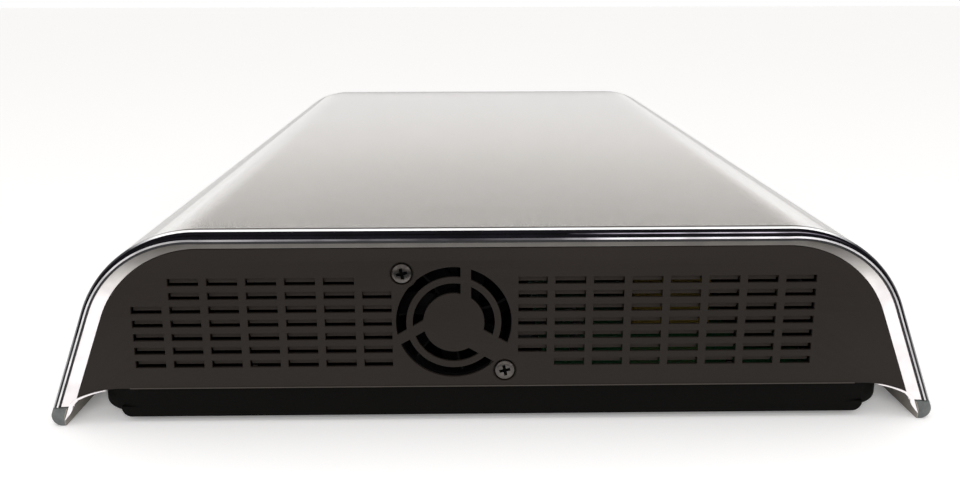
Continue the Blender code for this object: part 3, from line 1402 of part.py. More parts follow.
def make_drive():
    low_x = DRIVE_CENTRE_X - DRIVE_LENGTH / 2
    high_x = DRIVE_CENTRE_X + DRIVE_LENGTH / 2
    low_y = DRIVE_CENTRE_Y - DRIVE_WIDTH / 2
    high_y = DRIVE_CENTRE_Y + DRIVE_WIDTH / 2
    spindle = (low_x + DRIVE_WIDTH / 2, DRIVE_CENTRE_Y)
    pivot = (spindle[0] + ARM_PIVOT_X, spindle[1] + ARM_PIVOT_Y)
    floor_z = DRIVE_BOTTOM_Z + DRIVE_FLOOR
    housing = box(
        "drive_housing",
        (low_x, low_y, DRIVE_BOTTOM_Z),
        (high_x, high_y, DRIVE_TOP_Z),
        "cast_aluminium",
    )
    well_radius = PLATTER_RADIUS + PLATTER_WELL_GAP
    well = rods(
        "platter_well", [spindle], well_radius, floor_z, DRIVE_TOP_Z + CUT_OVERRUN, steps=3 * ROUND_STEPS
    )
    arm_well = box(
        "arm_well",
        (spindle[0] + HUB_RADIUS, low_y + DRIVE_WALL, floor_z),
        (high_x - DRIVE_WALL, high_y - DRIVE_WALL, DRIVE_TOP_Z + CUT_OVERRUN),
    )
    screw_places = []
    for x in (low_x + DRIVE_SCREW_INSET_X, high_x - DRIVE_SCREW_INSET_X):
        for y in (low_y + DRIVE_SCREW_INSET_Y, high_y - DRIVE_SCREW_INSET_Y):
            screw_places.append((x, y))
    hole_radius = SCREW_SHANK_RADIUS + CLEARANCE
    hole_top = BRACKET_TOP_Z - BRACKET_WALL + DRIVE_SCREW_LENGTH
    holes = rods("drive_holes", screw_places, hole_radius, DRIVE_BOTTOM_Z - CUT_OVERRUN, hole_top)
    cut(housing, well, arm_well, holes)
    lid_low = DRIVE_TOP_Z + CLEARANCE
    box(
        "drive_lid",
        (low_x + DRIVE_LID_INSET, low_y + DRIVE_LID_INSET, lid_low),
        (high_x - DRIVE_LID_INSET, high_y - DRIVE_LID_INSET, lid_low + DRIVE_LID_WALL),
        "zinc_steel",
        bevel=FUSE_DEPTH,
    )
    make_platters(spindle, floor_z)
    make_arm(pivot, floor_z)
    make_bracket(low_x, high_x, low_y, high_y, screw_places)


def make_platters(spindle, floor_z):
    """Two discs on their hub, with the origin on the spindle."""
    bottom = CLEARANCE
    first = bottom + (HUB_HEIGHT - PLATTER_GAP - 2 * PLATTER_WALL) / 2
    second = first + PLATTER_WALL + PLATTER_GAP
    profile = [
        (0, bottom + HUB_HEIGHT),
        (HUB_RADIUS, bottom + HUB_HEIGHT),
        (HUB_RADIUS, second + PLATTER_WALL),
        (PLATTER_RADIUS, second + PLATTER_WALL),
        (PLATTER_RADIUS, second),
        (HUB_RADIUS, second),
        (HUB_RADIUS, first + PLATTER_WALL),
        (PLATTER_RADIUS, first + PLATTER_WALL),
        (PLATTER_RADIUS, first),
        (HUB_RADIUS, first),
        (HUB_RADIUS, bottom),
        (0, bottom),
    ]
    matrix = Matrix.Translation((*spindle, floor_z))
    turned("drive_platters", profile, "platter_mirror", matrix, 2 * ROUND_STEPS)


def make_arm(pivot, floor_z):
    """Head arm between the discs; its origin is on its pivot."""
    matrix = Matrix.Translation((*pivot, floor_z))
    height = HUB_HEIGHT
    arm = rods("drive_arm", [(0, 0)], ARM_PIVOT_RADIUS, CLEARANCE, height, "Z", "cast_aluminium", matrix)
    middle = CLEARANCE + height / 2
    outline = [
        (0, ARM_ROOT_WIDTH / 2),
        (-ARM_REACH, ARM_TIP_WIDTH / 2),
        (-ARM_REACH, -ARM_TIP_WIDTH / 2),
        (0, -ARM_ROOT_WIDTH / 2),
        (ARM_TAIL, -ARM_TAIL_WIDTH / 2),
        (ARM_TAIL, ARM_TAIL_WIDTH / 2),
    ]
    blade = plate("arm_blade", [outline], middle - ARM_WALL / 2, middle + ARM_WALL / 2, "Z", matrix=matrix)
    fuse(arm, blade)


def make_bracket(low_x, high_x, low_y, high_y, screw_places):
    """Folded bracket on the tray, carrying the drive on its top."""
    leg_foot = TRAY_FLOOR_Z + CLEARANCE
    underside = BRACKET_TOP_Z - BRACKET_WALL
    section = [
        (low_y, leg_foot),
        (low_y + BRACKET_WALL, leg_foot),
        (low_y + BRACKET_WALL, underside),
        (high_y - BRACKET_WALL, underside),
        (high_y - BRACKET_WALL, leg_foot),
        (high_y, leg_foot),
        (high_y, BRACKET_TOP_Z),
        (low_y, BRACKET_TOP_Z),
    ]
    bracket_low = low_x + BRACKET_INSET_X - DRIVE_SCREW_INSET_X
    bracket_high = high_x - BRACKET_INSET_X + DRIVE_SCREW_INSET_X
    bracket = plate("drive_tray", [section], bracket_low, bracket_high, "X", "zinc_steel")
    hole_radius = SCREW_SHANK_RADIUS + CLEARANCE
    holes = rods("bracket_holes", screw_places, hole_radius, leg_foot, BRACKET_TOP_Z + CUT_OVERRUN)
    cut(bracket, holes)
    box(
        "drive_board",
        (low_x + DRIVE_BOARD_INSET_X, low_y + DRIVE_BOARD_INSET_Y, BRACKET_TOP_Z + CLEARANCE),
        (
            high_x - DRIVE_BOARD_INSET_X,
            high_y - DRIVE_BOARD_INSET_Y,
            BRACKET_TOP_Z + CLEARANCE + DRIVE_BOARD_WALL,
        ),
        "board_green",
    )
    length = DRIVE_SCREW_LENGTH - CLEARANCE
    for index, (x, y) in enumerate(screw_places):
        seat = (x, y, underside - CLEARANCE)
        make_screw("drive_screw_" + str(index + 1), seat, (0, 0, -1), length, "zinc_steel")


def lead_route(corners):
    """A smooth route whose first and last stretches run straight."""
    return [corners[0], *smooth_route(corners[1:-1]), corners[-1]]


def make_leads():
    stub = LEAD_STUB
    supply_low = SUPPLY_BOARD_X[0] + SUPPLY_LEAD_INSET
    main_high = MAIN_BOARD_X[1] - SUPPLY_LEAD_INSET
    middle = (supply_low + main_high) / 2
    top = SOCKET_BOTTOM_Z + SUPPLY_LEAD_RISE
    corners = [
        (supply_low, SUPPLY_LEAD_Y, SOCKET_BOTTOM_Z),
        (supply_low, SUPPLY_LEAD_Y, SOCKET_BOTTOM_Z + stub),
        (middle, SUPPLY_LEAD_Y, top),
        (main_high, SUPPLY_LEAD_Y, SOCKET_BOTTOM_Z + stub),
        (main_high, SUPPLY_LEAD_Y, SOCKET_BOTTOM_Z),
    ]
    tube("supply_lead", lead_route(corners), LEAD_RADIUS, "lead_jacket")
    fan_side = FAN_Y + FAN_SIZE / 2 + CLEARANCE
    fan_mid_x = PANEL_FACE_X - FAN_BOSS_DEPTH - CLEARANCE - FAN_DEPTH / 2
    corners = [
        (fan_mid_x, fan_side, FAN_LEAD_Z),
        (fan_mid_x, fan_side + stub, FAN_LEAD_Z),
        (FAN_LEAD_X, FAN_LEAD_Y, FAN_LEAD_Z),
        (FAN_LEAD_X, FAN_LEAD_Y, SOCKET_BOTTOM_Z + stub),
        (FAN_LEAD_X, FAN_LEAD_Y, SOCKET_BOTTOM_Z),
    ]
    tube("fan_lead", lead_route(corners), LEAD_RADIUS, "lead_jacket")
    drive_end = DRIVE_HIGH_X + CLEARANCE
    drive_mid_z = DRIVE_BOTTOM_Z + DRIVE_HEIGHT / 2
    corners = [
        (drive_end, DRIVE_CENTRE_Y, drive_mid_z),
        (drive_end + stub, DRIVE_CENTRE_Y, drive_mid_z),
        (DRIVE_LEAD_X, DRIVE_CENTRE_Y + DRIVE_LEAD_RUN, DRIVE_LEAD_Z),
        (DRIVE_LEAD_X, DRIVE_LEAD_Y, DRIVE_LEAD_Z),
        (DRIVE_LEAD_X, DRIVE_LEAD_Y, SOCKET_BOTTOM_Z + stub),
        (DRIVE_LEAD_X, DRIVE_LEAD_Y, SOCKET_BOTTOM_Z),
    ]
    tube("drive_cable", lead_route(corners), LEAD_RADIUS, "lead_jacket")
    make_ribbon()


def make_ribbon():
    """Flat lead from the front board along the tray to the main board's edge."""
    board_back = slope_matrix() @ Vector((RIBBON_X, 0, -FRONT_BOARD_DEPTH - BOARD_WALL - CLEARANCE))
    lower = TRAY_FLOOR_Z + CLEARANCE
    upper = lower + RIBBON_WALL
    rise = board_back.z
    start = board_back.y
    end = MAIN_BOARD_Y[0] + RIBBON_REACH
    top = BOARD_BOTTOM_Z - CLEARANCE
    outline = [
        (start, rise),
        (start + RIBBON_WALL, rise),
        (start + RIBBON_WIDTH, upper),
        (end, upper),
        (end, top),
        (end + RIBBON_WALL, top),
        (end + RIBBON_WALL, lower),
        (start + RIBBON_WIDTH - RIBBON_WALL, lower),
    ]
    half = RIBBON_WIDTH / 2
    plate("front_ribbon", [outline], RIBBON_X - half, RIBBON_X + half, "X", "ribbon_grey")


def main():
    clear_scene()
    make_shell()
    make_cover()
    make_fan_end()
    make_fan()
    make_tray()
    make_rear()
    make_boards()
    make_card_end()
    make_front()
    make_drive()
    make_leads()


main()
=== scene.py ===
"""Looks of the cable television recorder: the clear shell, the vented end faces, the fan and the sockets."""

from math import asin, cos, pi, radians, sin, tan

import bmesh
import bpy
from mathutils import Matrix, Vector


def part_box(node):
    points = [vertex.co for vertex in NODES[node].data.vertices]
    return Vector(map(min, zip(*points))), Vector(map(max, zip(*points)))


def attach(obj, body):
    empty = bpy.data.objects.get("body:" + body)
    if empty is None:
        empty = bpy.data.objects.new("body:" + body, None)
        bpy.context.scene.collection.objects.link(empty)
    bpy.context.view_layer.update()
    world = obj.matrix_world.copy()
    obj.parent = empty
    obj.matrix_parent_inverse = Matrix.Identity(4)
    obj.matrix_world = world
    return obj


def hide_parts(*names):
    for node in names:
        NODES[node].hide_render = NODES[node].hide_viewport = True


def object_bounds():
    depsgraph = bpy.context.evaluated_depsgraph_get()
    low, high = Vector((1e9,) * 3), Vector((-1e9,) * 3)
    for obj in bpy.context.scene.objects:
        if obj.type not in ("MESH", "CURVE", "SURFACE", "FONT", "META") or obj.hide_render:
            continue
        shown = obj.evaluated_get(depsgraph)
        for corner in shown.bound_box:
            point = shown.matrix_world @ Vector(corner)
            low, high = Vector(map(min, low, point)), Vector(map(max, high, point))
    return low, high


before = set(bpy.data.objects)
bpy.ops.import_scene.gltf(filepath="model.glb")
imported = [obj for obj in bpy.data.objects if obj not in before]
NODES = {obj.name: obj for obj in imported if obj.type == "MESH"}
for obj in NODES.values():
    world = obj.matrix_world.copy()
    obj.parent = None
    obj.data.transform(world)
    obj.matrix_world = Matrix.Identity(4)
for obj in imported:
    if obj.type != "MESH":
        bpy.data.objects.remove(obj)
CAD_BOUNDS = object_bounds()

# The bridge section, as in the CAD
HEIGHT = 0.058
TOP_HALF_WIDTH = 0.0823
SHOULDER_RADIUS = 0.036
FLARE_ANGLE = radians(20.7)
SHOULDER_CENTRE_Z = HEIGHT - SHOULDER_RADIUS
SHOULDER_STEPS = 28
END_X = CAD_BOUNDS[1].x
SHELL_WALL = 0.0040
SHELL_LOW_Z = 0.0058
COVER_DEPTH = 0.0043
COVER_WALL = 0.0010
COVER_LOW_Z = 0.0083
PANEL_DEPTH = 0.0056
PANEL_WALL = 0.0012
PANEL_BOTTOM_Z = 0.0112
PANEL_FLARE_WIDTH = 0.0130
PANEL_FLARE_STEPS = 12
PANEL_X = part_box("fan_end_panel")[1].x
ENDS = ((1, "fan_end"), (-1, "card_end"))
WELD = 0.00001

# Cable bay in the rear slope
BAY_HALF_LENGTH = 0.155
BAY_LOW_Y = 0.10118
BAY_TOP_Z = 0.038

# Front slope, with its button and the opening of its window
SLOPE_Z = 0.0230
BUTTON_X = 0.030
BUTTON_HOLE_RADIUS = 0.0048
WINDOW_LOW, WINDOW_HIGH = (-0.0753, -0.0073, -0.008), (0.0153, 0.0073, 0)

# Vent slots, by column from the front and by row from the top
VENT_FIRST_Y = -0.1022
VENT_PITCH_Y = 0.01085
VENT_WIDTH = 0.0086
VENT_HEIGHT = 0.0021
VENT_PITCH_Z = 0.00405
VENT_TOP_ROW_Z = 0.0418
VENT_TRIM = 0.0005
VENT_COLUMNS = 18
VENT_ROWS = 7
# Columns that the fan takes up, which their neighbours are trimmed beside, and rows without a slot
FAN_COLUMNS = (7, 8, 9)
BARE_SLOTS = {0: (0, 1), 6: (0,), 10: (6,)}
SLOT_CHAMFER = 0.00018
# Blades behind the slots, and the bars that carry them
BLADE_X = (0.1812, 0.1820)
BLADE_RISE = 0.0003
BLADE_BAR_X = (0.1807, 0.18125)
BLADE_BAR_HALF = 0.00045
# Turns a flat outline in Y and Z so that its thickness runs along X
ACROSS = Matrix(((0, 0, 1, 0), (1, 0, 0, 0), (0, 1, 0, 0), (0, 0, 0, 1)))
MIRROR = Matrix.Diagonal((-1, 1, 1, 1))

# Fan and its grille: rings as inner and outer radius, spokes as angle and where their two edges pass the centre
FAN_Y, FAN_Z = -0.0115, 0.0305
# The blades in front of the fan end this far from its axis
FAN_REACH = 0.0176
FAN_HOLE_REACH = 0.0145
GRILLE_RINGS = ((0.0135, 0.01635), (0.0087, 0.0116))
GRILLE_SPOKES = ((radians(90), 0.00195, 0.00497), (radians(210), 0.00195, 0.00497),
                 (radians(330), -0.0023, 0.00455))

# Case screws, under the tray's corners
CASE_SCREW_PLACES = [(side * 0.174, way * 0.07052) for side in (-1, 1) for way in (-1, 1)]
CASE_SCREW_Z = 0.0027


def linear(hex_colour):
    """An sRGB hex colour as a linear colour."""
    shares = [int(hex_colour[place:place + 2], 16) / 255 for place in (0, 2, 4)]
    levels = [s / 12.92 if s <= 0.04045 else ((s + 0.055) / 1.055) ** 2.4 for s in shares]
    return (*levels, 1.0)


def add_node(tree, kind, settings=None, links=None):
    """Adds a node, sets its properties and inputs, and links other nodes' outputs to its inputs."""
    node = tree.nodes.new("ShaderNode" + kind)
    for name, value in (settings or {}).items():
        if isinstance(name, str) and hasattr(node, name):
            setattr(node, name, value)
        else:
            node.inputs[name].default_value = value
    for name, output in (links or {}).items():
        tree.links.new(output, node.inputs[name])
    return node


def new_material(name):
    material = bpy.data.materials.new(name)
    material.use_nodes = True
    tree = material.node_tree
    tree.nodes.clear()
    output = tree.nodes.new("ShaderNodeOutputMaterial")
    return material, tree, output


def noise(tree, spot, size, detail):
    """Noise with features of a size in metres."""
    return add_node(tree, "TexNoise", {"Scale": 1 / size, "Detail": detail}, {"Vector": spot}).outputs["Fac"]


def blend(tree, first, second, share):
    """Two hex colours, mixed by another node's output."""
    mix = add_node(tree, "Mix", {"data_type": "RGBA", 6: linear(first), 7: linear(second)}, {0: share})
    return mix.outputs[2]


def fill_ramp(ramp, stops):
    """Gives a colour ramp its stops, each a place and a linear colour."""
    elements = ramp.color_ramp.elements
    while len(elements) < len(stops):
        elements.new(0.5)
    for element, (place, colour) in zip(elements, stops):
        element.position = place
        element.color = colour


def grained(name, colour, shade, roughness, grain, relief, metallic=0.0, patch=0.012, coat=0.0, specular=0.5):
    """A finish that drifts between two tones over patches, with a fine relief; sizes in metres."""
    material, tree, output = new_material(name)
    spot = add_node(tree, "TexCoord").outputs["Object"]
    fine = noise(tree, spot, grain, 3.0)
    polish = add_node(tree, "MapRange", {"To Min": roughness * 0.85, "To Max": roughness * 1.15},
                      {"Value": fine})
    bump = add_node(tree, "Bump", {"Strength": 0.6, "Distance": relief}, {"Height": fine})
    body = add_node(tree, "BsdfPrincipled", {
        "Metallic": metallic, "Coat Weight": coat, "Coat Roughness": 0.04, "Specular IOR Level": specular}, {
        "Base Color": blend(tree, colour, shade, noise(tree, spot, patch, 5.0)),
        "Roughness": polish.outputs["Result"], "Normal": bump.outputs["Normal"]})
    tree.links.new(body.outputs["BSDF"], output.inputs["Surface"])
    return material


def side_y(depth, z):
    """Half width at a height, at a depth below the outer face of the flared side."""
    radius = SHOULDER_RADIUS - depth
    foot_z = SHOULDER_CENTRE_Z + radius * sin(FLARE_ANGLE)
    return TOP_HALF_WIDTH + radius * cos(FLARE_ANGLE) + (foot_z - z) * tan(FLARE_ANGLE)


def slope_matrix(x=0):
    """Front slope: local X along the box, local Y up the slope, local Z out of it."""
    turn = Matrix.Rotation(pi / 2 - FLARE_ANGLE, 4, "X")
    return Matrix.Translation((0, -side_y(0, SLOPE_Z), SLOPE_Z)) @ turn @ Matrix.Translation((x, 0, 0))


def add_to_scene(name, data):
    made = bpy.data.objects.new(name, data)
    bpy.context.scene.collection.objects.link(made)
    return made


def mesh_of(name, bm):
    """A bmesh as a mesh; the bmesh is freed."""
    mesh = bpy.data.meshes.new(name)
    bm.to_mesh(mesh)
    bm.free()
    return mesh


def join(bm, other):
    """Adds a bmesh to another one and frees it."""
    mesh = mesh_of("joined", other)
    bm.from_mesh(mesh)
    bpy.data.meshes.remove(mesh)


def new_piece(name, bm, materials, body="recorder", replaced=(), slot=None, crease=35):
    """A bmesh as a piece on a body, shaded smooth where its faces bend less than the crease."""
    mesh = mesh_of(name, bm)
    for material in materials:
        mesh.materials.append(material)
    mesh.shade_smooth()
    mesh.set_sharp_from_angle(angle=radians(crease))
    piece = add_to_scene(name, mesh)
    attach(piece, body)
    if replaced:
        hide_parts(*replaced)
    return piece


def carve(piece, tool_bm, operation="DIFFERENCE", crease=35):
    """Cuts a bmesh from a piece, or joins it on, and keeps the result as the piece's mesh."""
    bmesh.ops.recalc_face_normals(tool_bm, faces=tool_bm.faces)
    tool = add_to_scene("tool", mesh_of("tool", tool_bm))
    step = piece.modifiers.new("carve", "BOOLEAN")
    step.operation, step.solver, step.object = operation, "MANIFOLD", tool
    bpy.context.view_layer.update()
    graph = bpy.context.evaluated_depsgraph_get()
    carved = bpy.data.meshes.new_from_object(piece.evaluated_get(graph))
    piece.modifiers.clear()
    materials = list(piece.data.materials)
    piece.data = carved
    # Slot by slot, because clearing them would lose each face's material index
    for index, material in enumerate(materials):
        if index < len(carved.materials):
            carved.materials[index] = material
        else:
            carved.materials.append(material)
    carved.shade_smooth()
    carved.set_sharp_from_angle(angle=radians(crease))
    bpy.data.objects.remove(tool)


def add_box(bm, low, high, matrix=None):
    """A box between two corners; returns its vertices."""
    low, high = Vector(low), Vector(high)
    made = bmesh.ops.create_cube(bm, size=1)["verts"]
    bmesh.ops.scale(bm, vec=high - low, verts=made)
    bmesh.ops.translate(bm, vec=(low + high) / 2, verts=made)
    if matrix is not None:
        bmesh.ops.transform(bm, matrix=matrix, verts=made)
    return made


def add_rod(bm, radius, low, high, matrix, steps=32):
    """A cylinder along local Z."""
    made = bmesh.ops.create_cone(bm, cap_ends=True, segments=steps, radius1=radius, radius2=radius,
                                 depth=high - low)["verts"]
    bmesh.ops.translate(bm, vec=(0, 0, (low + high) / 2), verts=made)
    bmesh.ops.transform(bm, matrix=matrix, verts=made)


def add_turned(bm, profile, matrix, steps=48):
    """A (radius, height) profile turned a full circle round local Z."""
    before = set(bm.verts)
    line = [bm.verts.new((radius, 0, height)) for radius, height in profile]
    edges = [bm.edges.new(pair) for pair in zip(line, line[1:])]
    bmesh.ops.spin(bm, geom=line + edges, cent=(0, 0, 0), axis=(0, 0, 1), angle=2 * pi, steps=steps, use_merge=True)
    bmesh.ops.remove_doubles(bm, verts=[v for v in bm.verts if v not in before], dist=WELD)
    bmesh.ops.recalc_face_normals(bm, faces=[f for f in bm.faces if f.verts[0] not in before])
    bmesh.ops.transform(bm, matrix=matrix, verts=[v for v in bm.verts if v not in before])


def turned_piece(name, profile, place, materials, steps=48, **settings):
    """A piece turned from a profile round a place's Z axis."""
    bm = bmesh.new()
    add_turned(bm, profile, place, steps)
    return new_piece(name, bm, materials, **settings)


def along(axis):
    """Turns local Z onto a world axis."""
    return Vector(axis).to_track_quat("Z", "Y").to_matrix().to_4x4()


def bevel_edges(bm, edges, width, segments):
    bmesh.ops.bevel(bm, geom=edges, offset=width, offset_type="OFFSET", segments=segments, profile=0.5,
                    affect="EDGES", material=-1)


def eased_box(low, high, ease):
    """A box with every edge rounded."""
    bm = bmesh.new()
    add_box(bm, low, high)
    bevel_edges(bm, bm.edges[:], ease, 2)
    return bm


def reach(edge, axis):
    """How far an edge runs along an axis, as 0, 1 or 2."""
    return abs(edge.verts[0].co[axis] - edge.verts[1].co[axis])


def span_x(end, near, far):
    """Low and high X at one end of the box, between two distances from its middle."""
    return sorted((end * near, end * far))


def grow_x(bm, faces, length):
    """Extrudes faces along X."""
    grown = bmesh.ops.extrude_face_region(bm, geom=faces)["geom"]
    bmesh.ops.translate(bm, vec=(length, 0, 0), verts=[g for g in grown if isinstance(g, bmesh.types.BMVert)])
    bmesh.ops.recalc_face_normals(bm, faces=bm.faces)


def arch_wire(bm, depth, low_z, x):
    """The bridge section at a depth below the outer face: an open wire from foot to foot; returns its edges."""
    before = set(bm.edges)
    radius = SHOULDER_RADIUS - depth
    foot = bm.verts.new((x, side_y(depth, low_z), low_z))
    turn = bm.verts.new((x, TOP_HALF_WIDTH + radius * cos(FLARE_ANGLE), SHOULDER_CENTRE_Z + radius * sin(FLARE_ANGLE)))
    bm.edges.new((foot, turn))
    bmesh.ops.spin(bm, geom=[turn], cent=(x, TOP_HALF_WIDTH, SHOULDER_CENTRE_Z), axis=(1, 0, 0),
                   angle=pi / 2 - FLARE_ANGLE, steps=SHOULDER_STEPS)
    half = [e for e in bm.edges if e not in before]
    verts = list(dict.fromkeys(v for e in half for v in e.verts))
    copy = bmesh.ops.duplicate(bm, geom=verts + half)["geom"]
    other = [g for g in copy if isinstance(g, bmesh.types.BMVert)]
    bmesh.ops.scale(bm, vec=(1, -1, 1), verts=other)
    top = max(verts, key=lambda v: v.co.z - abs(v.co.y) * WELD)
    far = max(other, key=lambda v: v.co.z - abs(v.co.y) * WELD)
    bm.edges.new((top, far))
    return [e for e in bm.edges if e not in before]


def bridge(bm, first, second, material=0):
    """Faces between two open wires of the same section."""
    made = bmesh.ops.bridge_loops(bm, edges=first + second)["faces"]
    for face in made:
        face.material_index = material
    return made


def arch_solid(outer, inner, low_z, half_length):
    """A bridge-shaped wall between two depths; the faces of its inside have the second material."""
    bm = bmesh.new()
    faces = bridge(bm, arch_wire(bm, outer, low_z, -half_length), arch_wire(bm, inner, low_z, -half_length))
    grow_x(bm, faces, 2 * half_length)
    for face in bm.faces:
        middle = face.calc_center_median()
        nearest = Vector((middle.x, max(-TOP_HALF_WIDTH, min(TOP_HALF_WIDTH, middle.y)), SHOULDER_CENTRE_Z))
        if (middle - nearest).dot(face.normal) < 0:
            face.material_index = 1
    return bm


def bay_tool():
    """The bay's opening, which runs out of the slope and under its foot."""
    bm = bmesh.new()
    add_box(bm, (-BAY_HALF_LENGTH, BAY_LOW_Y, -0.002), (BAY_HALF_LENGTH, side_y(0, 0) + 0.002, BAY_TOP_Z))
    return bm


# Finishes

def polished_acrylic():
    """Cast acrylic, flame polished: it bends what lies behind it and mirrors the studio at a glance."""
    material, tree, output = new_material("polished_acrylic")
    glass = add_node(tree, "BsdfPrincipled", {
        "Base Color": linear("FEFCF9"), "Roughness": 0.0, "IOR": 1.49, "Transmission Weight": 1.0})
    tree.links.new(glass.outputs["BSDF"], output.inputs["Surface"])
    return material


def edge_painted_light(name, stops, streak, axis="Z"):
    """The sawn and polished acrylic edge, drawn in painted light: its tone changes along an axis, with faint streaks.

    Its colour is the painted light and shade of the edge: pale down the sides, dim over the black cover."""
    material, tree, output = new_material(name)
    spot = add_node(tree, "TexCoord").outputs["Object"]
    place = add_node(tree, "SeparateXYZ", links={"Vector": spot}).outputs[axis]
    first, last = stops[0][0], stops[-1][0]
    level = add_node(tree, "MapRange", {"From Min": first, "From Max": last}, {"Value": place})
    ramp = add_node(tree, "ValToRGB", links={"Fac": level.outputs["Result"]})
    fill_ramp(ramp, [((stop - first) / (last - first), linear(colour)) for stop, colour in stops])
    stretch = add_node(tree, "Mapping", {"Scale": (0.2, 1.0, 1.0)}, {"Vector": spot})
    waves = noise(tree, stretch.outputs["Vector"], 0.008, 2.0)
    dim = add_node(tree, "MapRange", {"From Min": 0.35, "From Max": 0.62, "To Min": 1 - streak, "To Max": 1.0}, {
        "Value": waves})
    tone = add_node(tree, "Mix", {"data_type": "RGBA", "blend_type": "MULTIPLY", 0: 1.0},
                    {6: ramp.outputs["Color"], 7: dim.outputs["Result"]})
    body = add_node(tree, "BsdfPrincipled", {"Roughness": 0.12}, {"Base Color": tone.outputs[2]})
    tree.links.new(body.outputs["BSDF"], output.inputs["Surface"])
    return material


def satin_panel():
    """ABS moulded in a spark-eroded tool: an even warm black with a fine grain and a few specks of dust."""
    material, tree, output = new_material("satin_black_abs")
    spot = add_node(tree, "TexCoord").outputs["Object"]
    grain = noise(tree, spot, 0.0004, 3.0)
    cells = add_node(tree, "TexVoronoi", {"Scale": 1 / 0.009}, {"Vector": spot})
    near = add_node(tree, "Math", {"operation": "LESS_THAN", 1: 0.03}, {0: cells.outputs["Distance"]})
    pick = add_node(tree, "SeparateColor", links={"Color": cells.outputs["Color"]})
    rare = add_node(tree, "Math", {"operation": "GREATER_THAN", 1: 0.9}, {0: pick.outputs["Red"]})
    dust = add_node(tree, "Math", {"operation": "MULTIPLY"}, {0: near.outputs[0], 1: rare.outputs[0]})
    tone = blend(tree, "211D1A", "282320", noise(tree, spot, 0.035, 3.0))
    dusty = add_node(tree, "Mix", {"data_type": "RGBA", 7: linear("C9C6C2")}, {0: dust.outputs[0], 6: tone})
    polish = add_node(tree, "MapRange", {"To Min": 0.42, "To Max": 0.58}, {"Value": grain})
    bump = add_node(tree, "Bump", {"Strength": 0.5, "Distance": 0.00003}, {"Height": grain})
    body = add_node(tree, "BsdfPrincipled", {"Specular IOR Level": 0.2}, {
        "Base Color": dusty.outputs[2], "Roughness": polish.outputs["Result"], "Normal": bump.outputs["Normal"]})
    tree.links.new(body.outputs["BSDF"], output.inputs["Surface"])
    return material


GLASS = polished_acrylic()
# Deep gloss ABS of the inner cover: near black, with the studio mirrored in it
GLOSS = grained("gloss_black_abs", "0B0A0B", "0F0E0F", 0.03, 0.002, 0.0000005, coat=1.0)
# The same ABS inside the cover, left matt by its core
MATTE = grained("matt_core_abs", "0A0A0A", "0F0F0E", 0.75, 0.0006, 0.00003, specular=0.1)
# Black print behind the shell's end edge, with lighter patches painted in as reflection smudges
PRINT = grained("black_backed_edge_painted_reflection", "09080A", "1A191E", 0.05, 0.003, 0.000001, patch=0.009)
# The innermost band of the edge, painted light: pale down the sides, and grey over the black panel
EDGE_PALE = edge_painted_light("side_edge_painted_light", (
    (0.039, "F6F1F2"), (0.0425, "E2DEDC"), (0.0460, "B0ADAA"), (0.0490, "858280"), (0.0532, "5C5955")), 0.16)
# The outer corner, painted light: a highlight where the light from above reaches it on the flat of the top, and paler
# down the sides
EDGE_TOP = edge_painted_light("top_edge_painted_light", (
    (0.006, "A8A8AA"), (0.032, "77777A"), (0.0440, "2A2B2D"), (0.0525, "34353A"), (0.0550, "B9B9BC"),
    (0.0562, "FAFAFA")), 0.05)
# Over the top the inner lines of the edge are painted reflections, brightening towards the rear, with a violet cast
EDGE_LINE = edge_painted_light("line_edge_painted_light", (
    (-0.125, "F2F0F0"), (-0.105, "C9C7C9"), (-0.060, "7E7C80"), (-0.010, "3C3A3E"), (0.018, "6A686C"),
    (0.034, "EDE8F0"), (0.085, "F6F2F8"), (0.100, "C9C7C9")), 0.35, axis="Y")
# Between them runs one thin painted glint
GLINT = edge_painted_light("glint_edge_painted_light", (
    (-0.125, "0B0A0D"), (0.020, "0B0A0D"), (0.040, "A79FAE"), (0.070, "DAD2E0"), (0.092, "6A6470"),
    (0.100, "0B0A0D")), 0.5, axis="Y")
SATIN = satin_panel()
# The panel's ABS along its lower edge, painted paler: a painted highlight from the light of the table
HEM = grained("satin_abs_painted_highlight", "3E3935", "47423D", 0.5, 0.0007, 0.00001, specular=0.2)
# Louvre blades in the same ABS, painted a shade lighter than the panel to make up for the shade in their recesses
BLADES = grained("louvre_abs_painted_light", "2F2A27", "37322E", 0.55, 0.0004, 0.00002, specular=0.2)
# Glass-filled PBT of the fan, moulded with a soft sheen
FAN_PLASTIC = grained("fan_pbt", "060505", "0A0909", 0.5, 0.0005, 0.00002, specular=0.1)
# Black-oxide steel, cold headed, mottled between bright and dark grey in small patches
SCREW_STEEL = grained("black_oxide_steel", "423F3D", "8E8985", 0.3, 0.0006, 0.00003, metallic=1.0, patch=0.0014)
# Near-black painted shade on the walls of the screws' crosses
RECESS_PAINTED_SHADE = grained("screw_recess_painted_shade", "030303", "080807", 0.7, 0.0006, 0.00001, specular=0.05)
# Powder-coated steel of the tray and the rear panel, with its fine orange peel, its black darkened further as painted
# shade under the end panels
TRAY_STEEL = grained("powder_coated_steel_painted_shade", "060605", "0A0908", 0.6, 0.0007, 0.00004, specular=0.08)
# The strip's inner flank, paler and warmer than its outside
FLANK = grained("elastomer_flank", "7C766E", "A39D95", 0.35, 0.0016, 0.00004, patch=0.004)
# Soft thermoplastic elastomer, cloudy grey, with a wet-looking skin
ELASTOMER = grained("cloudy_elastomer", "343837", "6E7371", 0.22, 0.0016, 0.00004, patch=0.0028, coat=0.4)
# Moulded signs and insulators in white nylon
MARK = grained("white_nylon", "DCDCD8", "E8E8E4", 0.4, 0.0006, 0.000005)
# Dyed ABS of the audio collars
RING_RED = grained("red_abs", "8E1B1B", "A02323", 0.35, 0.0006, 0.00001)
RING_WHITE = grained("white_abs", "D8D8D4", "E2E2DF", 0.35, 0.0006, 0.00001)
RING_ORANGE = grained("orange_abs", "B4571A", "C4651F", 0.35, 0.0006, 0.00001)
